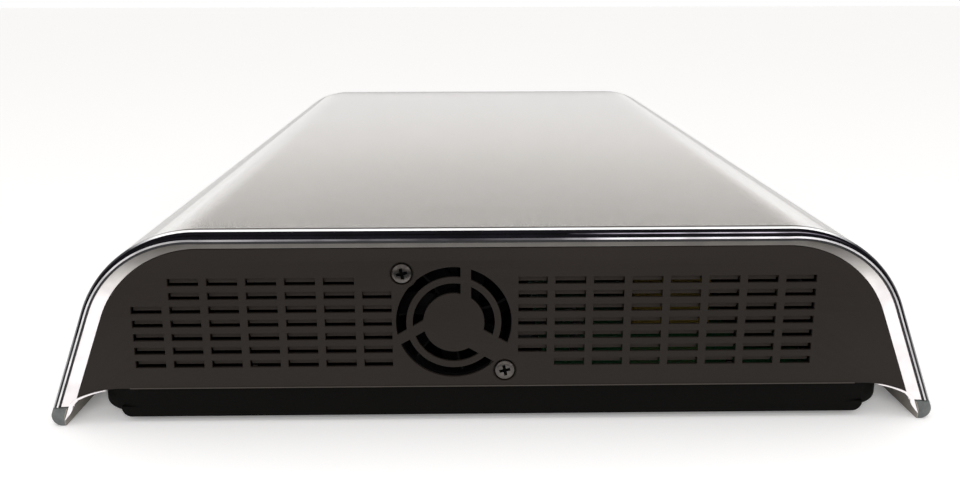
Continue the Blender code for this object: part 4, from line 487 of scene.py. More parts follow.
# Gold flash over nickel on the network contacts
GOLD = grained("gold_flash", "C79A45", "D8AE5C", 0.2, 0.0008, 0.000002, metallic=1.0)
# Bright nickel plate over brass
NICKEL = grained("nickel_plate", "C9C4BA", "DAD6CD", 0.18, 0.0008, 0.000005, metallic=1.0, patch=0.006)


# The clear shell, its end edges and the cover inside it

# Finishes of the rim's strips: the print, and the painted light and highlights of the polished edge
RIM_FINISHES = [PRINT, EDGE_TOP, EDGE_LINE, EDGE_PALE, GLINT]
RIM_STRIPS = (
    # Depth at the sides, depth over the top, setback from the end, and finish of the strip that starts here
    (0.0, 0.0, 0.0020, 0),
    (0.0, 0.0, 0.00050, 1),
    (0.00016, 0.00016, 0.00018, 1),
    (0.00046, 0.00046, 0.0, 0),
    (0.00060, 0.00150, 0.0, 4),
    (0.00072, 0.00180, 0.0, 0),
    (0.00100, 0.00290, 0.0, 2),
    (0.00145, 0.00345, 0.0, 0),
    (0.00190, 0.00415, 0.0002, 0),
    (0.00205, 0.00430, 0.0005, 3),
    (0.00545, 0.00545, 0.0008, 0),
    (0.00545, 0.00545, 0.0030, 0),
)
# The extra depth begins at this half width and is full a little further in; the straight sides have none
DEEP_FROM_Y, DEEP_OVER = 0.116, 0.040
DEEP_FROM_Z = SHOULDER_CENTRE_Z + SHOULDER_RADIUS * sin(FLARE_ANGLE) * 0.9


def deepen(verts, extra):
    """Moves a wire's points inwards by an extra depth that grows from the sides to the top."""
    for v in verts:
        share = min(max((DEEP_FROM_Y - abs(v.co.y)) / DEEP_OVER, 0), 1)
        share = share * share * (3 - 2 * share)
        if v.co.z < DEEP_FROM_Z:
            share = 0
        if abs(v.co.y) > TOP_HALF_WIDTH:
            side = 1 if v.co.y > 0 else -1
            centre = Vector((v.co.x, side * TOP_HALF_WIDTH, SHOULDER_CENTRE_Z))
            v.co += (centre - v.co).normalized() * extra * share
        else:
            v.co.z -= extra * share


def make_rim(name, end):
    """The polished edge at one end: strips, each of its own finish of print or painted light, between wires that follow
    the section.
    """
    bm = bmesh.new()
    wires = []
    for depth, top_depth, setback, _ in RIM_STRIPS:
        wire = arch_wire(bm, depth, SHELL_LOW_Z, end * (END_X - setback))
        deepen({v for e in wire for v in e.verts}, top_depth - depth)
        wires.append(wire)
    for wire, following, strip in zip(wires, wires[1:] + wires[:1], RIM_STRIPS):
        bridge(bm, wire, following, strip[3])
    feet = bmesh.ops.holes_fill(bm, edges=[e for e in bm.edges if len(e.link_faces) == 1], sides=0)["faces"]
    # The rim's feet are painted pale, like the painted light down the sides
    for face in feet:
        face.material_index = RIM_FINISHES.index(EDGE_PALE)
    bmesh.ops.recalc_face_normals(bm, faces=bm.faces)
    new_piece(name, bm, RIM_FINISHES, slot="clear_acrylic", crease=12)


def button_tool(low, high):
    bm = bmesh.new()
    add_rod(bm, BUTTON_HOLE_RADIUS, low, high, slope_matrix(BUTTON_X))
    return bm


def make_shell():
    """The shell and the cover inside it, both open at the cable bay and at the button, the cover also at the window."""
    half = END_X - RIM_STRIPS[0][2]
    shell = new_piece("clear_shell_body", arch_solid(0, SHELL_WALL, SHELL_LOW_Z, half), [GLASS, GLASS],
                      replaced=["clear_shell"], slot="clear_acrylic")
    carve(shell, bay_tool())
    carve(shell, button_tool(-0.006, 0.002))
    for end, name in ENDS:
        make_rim("shell_edge_" + name, end)
    cover = new_piece("inner_cover", arch_solid(COVER_DEPTH, COVER_DEPTH + COVER_WALL, COVER_LOW_Z, half),
                      [GLOSS, MATTE], replaced=["top_cover"], slot="gloss_black")
    carve(cover, bay_tool())
    carve(cover, button_tool(-0.008, 0))
    window = bmesh.new()
    add_box(window, WINDOW_LOW, WINDOW_HIGH, slope_matrix())
    carve(cover, window)


make_shell()


# End faces with their vents, and the fan behind them

def rectangle(low_y, high_y, low_z, high_z):
    return [(low_y, low_z), (high_y, low_z), (high_y, high_z), (low_y, high_z)]


def fan_centred(half_width, low_z, high_z):
    """A rectangle whose middle is in line with the fan's."""
    return rectangle(FAN_Y - half_width, FAN_Y + half_width, low_z, high_z)


# Bosses of the fan's screws, the profile of their seats round their axis, and where the screws' heads rest
BOSS_RADIUS, BOSS_X = 0.0046, (0.1821, 0.1838)
SEAT_PROFILE = [(0, 0.1815), (0.0017, 0.1815), (0.0017, 0.1829), (0.00325, 0.1829), (0.00325, PANEL_X - 0.0003),
                (0.00385, PANEL_X + 0.0003), (0, PANEL_X + 0.0003)]
FAN_SCREW_X = 0.1832
FAN_SCREW_PLACES = [(FAN_Y - FAN_HOLE_REACH, FAN_Z + FAN_HOLE_REACH), (FAN_Y + FAN_HOLE_REACH, FAN_Z - FAN_HOLE_REACH)]

# Card end: its card slot, and the flap's bay with the sleeve round it, the sleeve's floor and the pin's bore
CARD_SLOT = rectangle(0.01022, 0.06582, 0.0132, 0.0156)
FLAP_BAY = fan_centred(0.0123, 0.0197, 0.0343)
SLEEVE = fan_centred(0.0135, 0.0185, 0.0355)
SLEEVE_POCKET = fan_centred(0.0073, 0.0233, 0.0307)
SLEEVE_X = (0.1791, PANEL_X - PANEL_WALL + 0.0002)
SLEEVE_FLOOR_X = (0.1780, 0.1792)
SLEEVE_EASE = 0.0001
PIN_PLACE, PIN_RADIUS, PIN_HALF = (-0.1831, FAN_Y, 0.0214), 0.0009, 0.0131

# Impeller: hub, and blades from root to tip
HUB_PROFILE = [(0, 0), (0.0072, 0), (0.0078, 0.0004), (0.0080, 0.0064), (0.0076, 0.0072), (0.0068, 0.0076),
               (0.0050, 0.0076), (0.0047, 0.0073), (0, 0.0073)]
ROTOR_BLADES, ROTOR_BLADE_WALL, ROTOR_BLADE_MIDDLE, ROTOR_BLADE_BOW = 7, 0.0007, 0.0038, 0.0009
ROOT_RADIUS, ROOT_PITCH, ROOT_WIDTH = 0.0074, 54, 0.0070
TIP_REACH, TIP_TWIST, TIP_WIDENING, TIP_SWEEP = 0.0083, 16, 0.0008, radians(14)

# Screws: head, thread and cross
HEAD_RADIUS, HEAD_FLAT, HEAD_ROUND = 0.00285, 0.0009, 0.00195
HEAD_TOP, HEAD_SHOULDER, HEAD_DOME = 0.0014, 0.0009, 0.0005
THREAD_ROOT, THREAD_CREST, THREAD_PITCH, THREAD_START, THREAD_MARGIN = 0.0011, 0.0014, 0.0007, 0.0006, 0.0010
POINT_PROFILE = ((0.0010, 0.0002), (0.0006, 0), (0, 0))
CROSS_HALF_LENGTH, CROSS_HALF_WIDTH, CROSS_TURN = 0.0018, 0.00044, radians(12)
CROSS_LOW, CROSS_HIGH, CROSS_TAPER = 0.0004, 0.0016, 0.4


def vent_slots():
    """The slots of an end face, each its low and high Y and its low and high Z."""
    slots = []
    for column in range(VENT_COLUMNS):
        if column in FAN_COLUMNS:
            continue
        start = VENT_FIRST_Y + column * VENT_PITCH_Y
        end = start + VENT_WIDTH
        if column + 1 in FAN_COLUMNS:
            end -= VENT_TRIM
        if column - 1 in FAN_COLUMNS:
            start += VENT_TRIM
        for row in range(VENT_ROWS):
            if row not in BARE_SLOTS.get(column, ()):
                low = VENT_TOP_ROW_Z - row * VENT_PITCH_Z
                slots.append((start, end, low, low + VENT_HEIGHT))
    return slots


def ring_outlines(inner, outer, steps=24):
    """Openings of one grille ring, between three spokes whose edges run beside the centre."""
    outlines = []
    for (angle, near, _), (following, _, far) in zip(GRILLE_SPOKES, GRILLE_SPOKES[1:] + GRILLE_SPOKES[:1]):
        if following < angle:
            following += 2 * pi
        outline = []
        for radius, order in ((outer, range(steps + 1)), (inner, range(steps, -1, -1))):
            start = angle - asin(near / radius)
            end = following - asin(far / radius)
            turns = [start + (end - start) * step / steps for step in order]
            outline += [(FAN_Y + radius * cos(turn), FAN_Z + radius * sin(turn)) for turn in turns]
        outlines.append(outline)
    return outlines


def shoulder_arc(depth):
    """The shoulder at a depth below the outer face, from the flared side up to the flat top."""
    radius = SHOULDER_RADIUS - depth
    turns = [FLARE_ANGLE + (pi / 2 - FLARE_ANGLE) * step / SHOULDER_STEPS for step in range(SHOULDER_STEPS + 1)]
    return [(TOP_HALF_WIDTH + radius * cos(turn), SHOULDER_CENTRE_Z + radius * sin(turn)) for turn in turns]


def flare_point(share):
    """A point of the panel's lower edge, which sinks as it nears the tip, where the share is 1."""
    drop = (PANEL_BOTTOM_Z - COVER_LOW_Z) * share * share
    return side_y(PANEL_DEPTH, COVER_LOW_Z) - PANEL_FLARE_WIDTH * (1 - share), PANEL_BOTTOM_Z - drop


def end_outline():
    """The end panel's edge: the arch with its lower corners flared down."""
    flare = [flare_point(1 - step / PANEL_FLARE_STEPS) for step in range(PANEL_FLARE_STEPS, -1, -1)]
    half = flare + shoulder_arc(PANEL_DEPTH)
    return half + [(-y, z) for y, z in half[::-1]]


def flat_plate(loops, low, high, ease, place):
    """A flat outline with holes, between two heights, its edges eased; a flat curve makes it a mesh first."""
    curve = bpy.data.curves.new("plate", "CURVE")
    curve.dimensions = "2D"
    curve.fill_mode = "BOTH"
    curve.extrude = (high - low) / 2 - ease
    curve.bevel_depth = ease
    curve.bevel_resolution = 1
    curve.offset = -ease
    for loop in loops:
        spline = curve.splines.new("POLY")
        spline.points.add(len(loop) - 1)
        for point, (first, second) in zip(spline.points, loop):
            point.co = (first, second, 0, 1)
        spline.use_cyclic_u = True
    guide = add_to_scene("plate", curve)
    graph = bpy.context.evaluated_depsgraph_get()
    mesh = bpy.data.meshes.new_from_object(guide.evaluated_get(graph))
    bpy.data.objects.remove(guide, do_unlink=True)
    bm = bmesh.new()
    bm.from_mesh(mesh)
    bmesh.ops.remove_doubles(bm, verts=bm.verts, dist=WELD / 4)
    bmesh.ops.translate(bm, vec=(0, 0, (low + high) / 2), verts=bm.verts)
    bmesh.ops.transform(bm, matrix=place, verts=bm.verts)
    bmesh.ops.recalc_face_normals(bm, faces=bm.faces)
    return bm


def make_face(name, node, openings, place):
    """An end face from its outline and its openings."""
    plate = flat_plate([end_outline()] + openings, PANEL_X - PANEL_WALL, PANEL_X, SLOT_CHAMFER, place)
    return new_piece(name, plate, [SATIN], replaced=[node], slot="satin_black")


def make_fan_end():
    """The face in front of the fan, with its grille and the bosses and seats of its two screws."""
    slots = [rectangle(*slot) for slot in vent_slots()]
    grille = [outline for ring in GRILLE_RINGS for outline in ring_outlines(*ring)]
    panel = make_face("vented_face_fan_end", "fan_end_panel", slots + grille, ACROSS)
    bosses = bmesh.new()
    tools = bmesh.new()
    for y, z in FAN_SCREW_PLACES:
        place = Matrix.Translation((0, y, z)) @ along((1, 0, 0))
        add_rod(bosses, BOSS_RADIUS, *BOSS_X, place)
        add_turned(tools, SEAT_PROFILE, place)
    carve(panel, bosses, "UNION")
    carve(panel, tools)


def make_card_end():
    """The far face, with the card slot and the bay of the side socket's flap in its sleeve."""
    turn = MIRROR @ ACROSS
    slots = [rectangle(*slot) for slot in vent_slots()]
    face = make_face("vented_face_card_end", "card_end_panel", [FLAP_BAY, CARD_SLOT] + slots, turn)
    sleeve = new_piece("flap_sleeve", flat_plate([SLEEVE, FLAP_BAY], *SLEEVE_X, SLEEVE_EASE, turn), [SATIN],
                       replaced=["card_end_panel"], slot="satin_black")
    carve(sleeve, flat_plate([SLEEVE, SLEEVE_POCKET], *SLEEVE_FLOOR_X, SLEEVE_EASE, turn), "UNION")
    for piece in (face, sleeve):
        bore = bmesh.new()
        add_rod(bore, PIN_RADIUS, -PIN_HALF, PIN_HALF, Matrix.Translation(PIN_PLACE) @ along((0, 1, 0)), steps=24)
        carve(piece, bore)


def make_blades():
    """A dark blade behind each slot, on thin bars that run along the rows."""
    for side, name in ((-1, "front"), (1, "rear")):
        bm = bmesh.new()
        rows = {}
        for low_y, high_y, low_z, high_z in vent_slots():
            if (low_y - FAN_Y) * side < 0:
                continue
            if side < 0:
                high_y = min(high_y, FAN_Y - FAN_REACH)
            add_box(bm, (BLADE_X[0], low_y, low_z + BLADE_RISE), (BLADE_X[1], high_y, high_z))
            rows.setdefault(low_z, []).extend((low_y, high_y))
        for low_z, ends in rows.items():
            middle = low_z + VENT_HEIGHT / 2
            add_box(bm, (BLADE_BAR_X[0], min(ends), middle - BLADE_BAR_HALF),
                    (BLADE_BAR_X[1], max(ends), middle + BLADE_BAR_HALF))
        new_piece("fan_end_blades_" + name, bm, [BLADES], replaced=["fan_end_baffle_" + name], slot="black_plastic")


def make_rotor():
    """The impeller: a dished hub and seven twisted, cambered blades."""
    bm = bmesh.new()
    place = Matrix.Translation((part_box("fan_rotor")[0].x, FAN_Y, FAN_Z)) @ along((1, 0, 0))
    add_turned(bm, HUB_PROFILE, place, steps=64)
    for index in range(ROTOR_BLADES):
        sheet = bmesh.new()
        bmesh.ops.create_grid(sheet, x_segments=6, y_segments=8, size=0.5)
        for v in sheet.verts:
            chord, span = v.co.x, v.co.y + 0.5
            radius = ROOT_RADIUS + span * TIP_REACH
            pitch = radians(ROOT_PITCH - TIP_TWIST * span)
            width = ROOT_WIDTH + TIP_WIDENING * span
            bow = ROTOR_BLADE_BOW * (1 - 4 * chord * chord)
            rise = ROTOR_BLADE_MIDDLE + chord * width * cos(pitch) - bow * sin(pitch)
            drift = chord * width * sin(pitch) + bow * cos(pitch)
            turn = drift / radius + TIP_SWEEP * span + 2 * pi * index / ROTOR_BLADES
            v.co = (radius * cos(turn), radius * sin(turn), rise)
        bmesh.ops.recalc_face_normals(sheet, faces=sheet.faces)
        bmesh.ops.solidify(sheet, geom=sheet.faces[:], thickness=ROTOR_BLADE_WALL)
        bmesh.ops.transform(sheet, matrix=place, verts=sheet.verts)
        join(bm, sheet)
    new_piece("fan_impeller", bm, [FAN_PLASTIC], body="fan_rotor", replaced=["fan_rotor"], slot="black_plastic",
              crease=50)


def make_screw(name, seat, direction, length):
    """A pan-head screw with a tapered cross recess and a thread; its head's underside is on the seat."""
    place = Matrix.Translation(seat) @ along(direction)
    profile = [(0, HEAD_TOP), (HEAD_FLAT, HEAD_TOP)]
    for share in (0.25, 0.5, 0.75, 1):
        profile.append((HEAD_FLAT + HEAD_ROUND * sin(pi / 2 * share), HEAD_SHOULDER + HEAD_DOME * cos(pi / 2 * share)))
    profile += [(HEAD_RADIUS, 0.00012), (HEAD_RADIUS - 0.0001, 0), (THREAD_CREST, 0)]
    for turn in range(int((length - THREAD_MARGIN) / THREAD_PITCH)):
        low = -THREAD_START - turn * THREAD_PITCH
        profile += [(THREAD_ROOT, low), (THREAD_CREST, low - THREAD_PITCH / 2)]
    profile += [(radius, height - length) for radius, height in POINT_PROFILE]
    screw = turned_piece(name + "_cross_head", profile, place, [SCREW_STEEL, RECESS_PAINTED_SHADE], steps=32, replaced=[name],
                         slot="black_steel", crease=30)
    turns = [place @ Matrix.Rotation(turn + CROSS_TURN, 4, "Z") for turn in (0, pi / 2)]
    for turn in turns:
        recess = bmesh.new()
        made = add_box(recess, (-CROSS_HALF_LENGTH, -CROSS_HALF_WIDTH, CROSS_LOW),
                       (CROSS_HALF_LENGTH, CROSS_HALF_WIDTH, CROSS_HIGH))
        for corner in made:
            if corner.co.z < (CROSS_LOW + CROSS_HIGH) / 2:
                corner.co.x *= CROSS_TAPER
        bmesh.ops.transform(recess, matrix=turn, verts=made)
        carve(screw, recess, crease=30)
    # The faces that the cross has cut lie inside it, a hair more for rounding and below the head's top; they take the
    # painted shade
    for face in screw.data.polygons:
        for turn in turns:
            spot = turn.inverted() @ face.center
            across = abs(spot.x) < CROSS_HALF_LENGTH + 2 * WELD and abs(spot.y) < CROSS_HALF_WIDTH + 2 * WELD
            if across and CROSS_LOW - 0.0001 < spot.z < HEAD_TOP - 0.00004:
                face.material_index = 1


make_fan_end()
make_card_end()
make_blades()
make_rotor()
for place, name in zip(FAN_SCREW_PLACES, ("fan_screw_upper", "fan_screw_lower")):
    make_screw(name, (FAN_SCREW_X, *place), (1, 0, 0), length=0.010)
for index, place in enumerate(CASE_SCREW_PLACES, 1):
    make_screw("case_screw_%d" % index, (*place, CASE_SCREW_Z), (0, 0, -1), length=0.012)


# Foot strips, the painted highlights at the shell's lower corners and the hems of the end panels

STRIP_RADIUS, STRIP_TOP_Z, STRIP_DEPTH = 0.003, 0.0055, 0.004
STRIP_STEPS, STRIP_EASE = 12, 0.0005
STRIPS = (("front_foot_strip", -1, -END_X, END_X), ("rear_foot_strip_left", 1, -END_X, -BAY_HALF_LENGTH),
          ("rear_foot_strip_right", 1, BAY_HALF_LENGTH, END_X))
# Thin pale crescents of painted highlight at the shell's lower corners
CORNER_HIGHLIGHT_X, CORNER_HIGHLIGHT_DEPTH, CORNER_HIGHLIGHT_STEPS = (0.1842, 0.1849), 0.0042, 6
CORNER_HIGHLIGHT_START, CORNER_HIGHLIGHT_WIDTH, CORNER_HIGHLIGHT_WIDENING = 0.35, 0.00012, 0.00055
# Heights of the crescent under the flare's tip, and its width there
CORNER_HIGHLIGHT_TAIL = ((0.0068, 0.0011), (0.0056, 0.0012), (0.0044, 0.0010), (0.0032, 0.0006), (0.0018, 0.0001))
# Hems along the panels' lower edges, which carry a painted highlight
HEM_X = (PANEL_X - 0.0008, PANEL_X + 0.00015)
HEM_Z = (PANEL_BOTTOM_Z - 0.00008, PANEL_BOTTOM_Z + 0.00024)
HEM_HALF_WIDTH, HEM_EASE = 0.1045, 0.00007


def make_strips():
    """Soft strips under the long edges, rounded outside and undercut inside, with eased ends."""
    centre_y = side_y(0, STRIP_RADIUS) - STRIP_RADIUS / cos(FLARE_ANGLE)
    section = [(side_y(0, STRIP_TOP_Z), STRIP_TOP_Z)]
    for step in range(STRIP_STEPS + 1):
        turn = FLARE_ANGLE - (FLARE_ANGLE + pi / 2) * step / STRIP_STEPS
        section.append((centre_y + STRIP_RADIUS * cos(turn), STRIP_RADIUS + STRIP_RADIUS * sin(turn)))
    section += [(centre_y - 0.001, 0), (side_y(STRIP_DEPTH, STRIP_RADIUS), STRIP_RADIUS),
                (side_y(STRIP_DEPTH, STRIP_TOP_Z), STRIP_TOP_Z)]
    for name, side, low_x, high_x in STRIPS:
        bm = bmesh.new()
        bmesh.ops.contextual_create(bm, geom=[bm.verts.new((low_x, side * y, z)) for y, z in section])
        grow_x(bm, bm.faces[:], high_x - low_x)
        bevel_edges(bm, [e for e in bm.edges if reach(e, 0) < WELD], STRIP_EASE, 3)
        for face in bm.faces:
            if face.normal.y * side < -0.3:
                face.material_index = 1
        new_piece(name + "_moulding", bm, [ELASTOMER, FLANK], replaced=[name], slot="grey_elastomer", crease=40)


def make_corner_highlights():
    """Painted highlight at the shell's lower corners: a thin pale crescent under the panel's flare, down to the strip.
    """
    spine, widths = [], []
    for step in range(CORNER_HIGHLIGHT_STEPS + 1):
        share = CORNER_HIGHLIGHT_START + (1 - CORNER_HIGHLIGHT_START) * step / CORNER_HIGHLIGHT_STEPS
        y, z = flare_point(share)
        spine.append((y, z + 0.0001))
        widths.append(CORNER_HIGHLIGHT_WIDTH + CORNER_HIGHLIGHT_WIDENING * share)
    for height, width in CORNER_HIGHLIGHT_TAIL:
        spine.append((side_y(CORNER_HIGHLIGHT_DEPTH, height), height))
        widths.append(width)
    inside = [(y - width * 0.8, z - width * 0.6) for (y, z), width in zip(spine, widths)]
    loop = spine + inside[::-1]
    for end, name in ENDS:
        bm = bmesh.new()
        for side in (-1, 1):
            join(bm, flat_plate([[(side * y, z) for y, z in loop]], *span_x(end, *CORNER_HIGHLIGHT_X), 0.0, ACROSS))
        new_piece("shell_corner_painted_highlight_" + name, bm, [EDGE_PALE], slot="clear_acrylic", crease=30)


def make_hems():
    """Rounded lower edge of each end panel, painted paler as a highlight of the light from the table."""
    for end, name in ENDS:
        low_x, high_x = span_x(end, *HEM_X)
        hem = eased_box((low_x, -HEM_HALF_WIDTH, HEM_Z[0]), (high_x, HEM_HALF_WIDTH, HEM_Z[1]), HEM_EASE)
        new_piece("panel_hem_" + name, hem, [HEM], slot="satin_black")


make_strips()
make_corner_highlights()
make_hems()


# Base tray, the black strip of painted shade in front of it and the walls beside the cable bay

TRAY_CORNER, TRAY_WALL, TRAY_EASE = 0.014, 0.0012, 0.0012
LIP_DEPTH, LIP_HALF_WIDTH, LIP_Z, LIP_CORNER = 0.0016, 0.1080, (0.0019, 0.0050), 0.0028
STUD_LOW_Z = 0.0040
BOARD_STUD_RADIUS, BOARD_STUD_INSET, BOARD_STUD_GAP = 0.0030, 0.005, 0.0003
CASE_STUD_RADIUS, CASE_STUD_TOP_Z, CASE_HOLE_RADIUS = 0.0035, 0.0089, 0.0017
# The black strip of painted shade in front of the tray: its inset, heights and easing
SHADE_STRIP_INSET, SHADE_STRIP_Z, SHADE_STRIP_EASE = 0.002, (0.0086, 0.0096), 0.0003
BAY_WALL_X = (BAY_HALF_LENGTH + 0.0003, BAY_HALF_LENGTH + 0.0011)
BAY_WALL_LOW_Y, BAY_WALL_LOW_Z, BAY_WALL_EASE = 0.1014, 0.0113, 0.0001


def make_tray():
    """Deep-drawn tray with wide rounded corners, a lip at each end and the studs of its boards."""
    low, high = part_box("base_tray")
    bm = bmesh.new()
    add_box(bm, low, high)
    bevel_edges(bm, [e for e in bm.edges if reach(e, 2) > WELD], TRAY_CORNER, 14)
    bevel_edges(bm, [e for e in bm.edges if all(v.co.z < low.z + WELD for v in e.verts)], TRAY_EASE, 4)
    tray = new_piece("drawn_tray", bm, [TRAY_STEEL], replaced=["base_tray"], slot="black_steel")
    hollow = bmesh.new()
    add_box(hollow, low + Vector((TRAY_WALL, TRAY_WALL, TRAY_WALL)), high + Vector((-TRAY_WALL, -TRAY_WALL, 0.002)))
    bevel_edges(hollow, [e for e in hollow.edges if reach(e, 2) > WELD], TRAY_CORNER - TRAY_WALL, 14)
    carve(tray, hollow)
    for end in (-1, 1):
        low_x, high_x = span_x(end, high.x - LIP_DEPTH, high.x)
        lip = bmesh.new()
        add_box(lip, (low_x, -LIP_HALF_WIDTH, LIP_Z[0]), (high_x, LIP_HALF_WIDTH, LIP_Z[1]))
        bevel_edges(lip, [e for e in lip.edges if reach(e, 0) > WELD and e.verts[0].co.z < low.z], LIP_CORNER, 8)
        carve(tray, lip, "UNION")
    studs = bmesh.new()
    for board in ("main_board", "power_supply_board"):
        board_low, board_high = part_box(board)
        for x in (board_low.x + BOARD_STUD_INSET, board_high.x - BOARD_STUD_INSET):
            for y in (board_low.y + BOARD_STUD_INSET, board_high.y - BOARD_STUD_INSET):
                add_rod(studs, BOARD_STUD_RADIUS, STUD_LOW_Z, board_low.z - BOARD_STUD_GAP,
                        Matrix.Translation((x, y, 0)))
    holes = bmesh.new()
    for x, y in CASE_SCREW_PLACES:
        place = Matrix.Translation((x, y, 0))
        add_rod(studs, CASE_STUD_RADIUS, STUD_LOW_Z, CASE_STUD_TOP_Z, place)
        add_rod(holes, CASE_HOLE_RADIUS, 0, 0.012, place)
    carve(tray, studs, "UNION")
    carve(tray, holes)


def make_shade_strip():
    """A black strip between the tray and the cover's front edge, put in as painted shade: it keeps light out of the
    vents.
    """
    low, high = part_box("base_tray")
    shade_strip = eased_box((low.x + SHADE_STRIP_INSET, -side_y(COVER_DEPTH + COVER_WALL, SHADE_STRIP_Z[1]) + 0.0001, SHADE_STRIP_Z[0]),
                     (high.x - SHADE_STRIP_INSET, low.y - 0.0001, SHADE_STRIP_Z[1]), SHADE_STRIP_EASE)
    new_piece("front_light_shade_strip", shade_strip, [MATTE], slot="black_plastic")


def make_bay_ends():
    """Black end walls of the cable bay, which close it against the vents beside it."""
    depth = COVER_DEPTH + COVER_WALL + 0.0002
    loop = [(BAY_WALL_LOW_Y, BAY_WALL_LOW_Z), (side_y(depth, BAY_WALL_LOW_Z), BAY_WALL_LOW_Z)]
    loop += [point for point in shoulder_arc(depth) if point[0] > BAY_WALL_LOW_Y]
    loop.append((BAY_WALL_LOW_Y, loop[-1][1]))
    for end, name in ENDS:
        wall = flat_plate([loop], *span_x(end, *BAY_WALL_X), BAY_WALL_EASE, ACROSS)
        new_piece("bay_wall_" + name, wall, [MATTE], slot="black_plastic")


make_tray()
make_shade_strip()
make_bay_ends()


# Front slope: the power button, from its dish over the rim to its flange, and the sign in the dish

BUTTON_PROFILE = [(0, 0.00008), (0.0020, 0.00012), (0.0032, 0.00022), (0.0040, 0.00036), (0.00425, 0.0004),
                  (0.00442, 0.00032), (0.0045, 0.00015), (0.0045, -0.0056), (0.0058, -0.0056), (0.0058, -0.0066),
                  (0, -0.0066)]
SIGN_SECTION = ((0.0013, 0.0001), (0.0013, 0.00022), (0.0016, 0.00022), (0.0016, 0.0001))
SIGN_ARC, SIGN_TURN = radians(290), radians(125)
SIGN_BAR_LOW, SIGN_BAR_HIGH = (-0.00015, 0.0005, 0.0001), (0.00015, 0.0019, 0.00022)


def make_button():
    """Dished cap with a fine rim, and the standby sign in its dish."""
    place = slope_matrix(BUTTON_X)
    turned_piece("dished_button", BUTTON_PROFILE, place, [GLOSS], steps=72, body="power_button",
                 replaced=["power_button"], slot="gloss_black")
    sign = bmesh.new()
    ring = [sign.verts.new((radius, 0, height)) for radius, height in SIGN_SECTION]
    loop = [sign.edges.new(pair) for pair in zip(ring, ring[1:] + ring[:1])]
    bmesh.ops.spin(sign, geom=ring + loop, cent=(0, 0, 0), axis=(0, 0, 1), angle=SIGN_ARC, steps=36)
    bmesh.ops.holes_fill(sign, edges=[e for e in sign.edges if len(e.link_faces) == 1], sides=0)
    bmesh.ops.rotate(sign, cent=(0, 0, 0), matrix=Matrix.Rotation(SIGN_TURN, 3, "Z"), verts=sign.verts)
    add_box(sign, SIGN_BAR_LOW, SIGN_BAR_HIGH)
    bmesh.ops.recalc_face_normals(sign, faces=sign.faces)
    bmesh.ops.transform(sign, matrix=place, verts=sign.verts)
    new_piece("standby_sign", sign, [MARK], body="power_button", slot="card_white")


# Rear sockets. Profiles are pairs of radius and height; heights of a mouth and a core are from the socket's end

RF_FLANGE = [(0, 0), (0.0047, 0), (0.0047, 0.0012), (0.0060, 0.0015), (0.0060, 0.0023), (0.0056, 0.0026),
             (0.0043, 0.0026)]
RF_MOUTH = [(0.0043, -0.0005), (0.0041, 0), (0.0030, 0), (0.0028, -0.0004), (0.0028, -0.0016), (0, -0.0016)]
RF_CORE = [(0, -0.0017), (0.0027, -0.0017), (0.0027, -0.0011), (0.0009, -0.0009), (0.0006, -0.0013), (0, -0.0013)]
RF_ROOT, RF_CREST, RF_RISE = 0.0043, 0.0047, 0.0003
RF_THREADS, RF_THREAD_LOW, RF_THREAD_PITCH = 9, 0.0028, 0.00078
AUDIO_COLLAR = [(0.0026, 0), (0.0050, 0), (0.0050, 0.0012), (0.0047, 0.0015), (0.0034, 0.0015), (0.0034, 0.0021),
                (0.0026, 0.0021), (0.0026, 0)]
AUDIO_BARREL = [(0, 0), (0.0042, 0.0001), (0.0042, 0.0075), (0.0040, 0.0080), (0.0036, 0.0081), (0.0034, 0.0078),
                (0.0034, 0.0022), (0, 0.0022)]
AUDIO_CORE = [(0, 0.0020), (0.0032, 0.0020), (0.0032, 0.0066), (0.0030, 0.0068), (0.0017, 0.0068), (0.0016, 0.0060),
              (0.0016, 0.0030), (0, 0.0030)]
AUDIO_SOCKETS = ((0.007, RING_RED, "right"), (0.018, RING_WHITE, "left"), (0.029, RING_ORANGE, "digital"))
AUDIO_FACE_Y, AUDIO_SEAT_Y, AUDIO_Z = 0.10238, 0.10228, 0.0169
CONTACTS, CONTACT_MIDDLE_X, CONTACT_PITCH, CONTACT_HALF_WIDTH = 8, -0.038, 0.00102, 0.00025
CONTACT_Y, CONTACT_Z, CONTACT_TILT = (0.0925, 0.1010), (0.0199, 0.0202), radians(14)
INLET_BLADES = ((0.133, 0.0189), (0.140, 0.0229), (0.147, 0.0189))
INLET_HALF_WIDTH, INLET_HALF_HEIGHT, INLET_Y = 0.00105, 0.00205, (0.0870, 0.0956)


def make_rf_sockets():
    """Threaded sockets with a flange, a turned mouth and a white core."""
    for name in ("rf_input_socket", "rf_output_socket"):
        low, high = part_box(name)
        middle = (low + high) / 2
        place = Matrix.Translation((middle.x, low.y, middle.z)) @ along((0, 1, 0))
        length = high.y - low.y
        thread = []
        for turn in range(RF_THREADS):
            base = RF_THREAD_LOW + turn * RF_THREAD_PITCH
            thread += [(RF_ROOT, base), (RF_CREST, base + RF_RISE)]
        mouth, core = [[(radius, length + height) for radius, height in part] for part in (RF_MOUTH, RF_CORE)]
        turned_piece(name + "_threaded", RF_FLANGE + thread + mouth, place, [NICKEL], replaced=[name],
                     slot="nickel_plate", crease=28)
        turned_piece(name + "_insulator", core, place, [MARK], steps=40, slot="card_white")


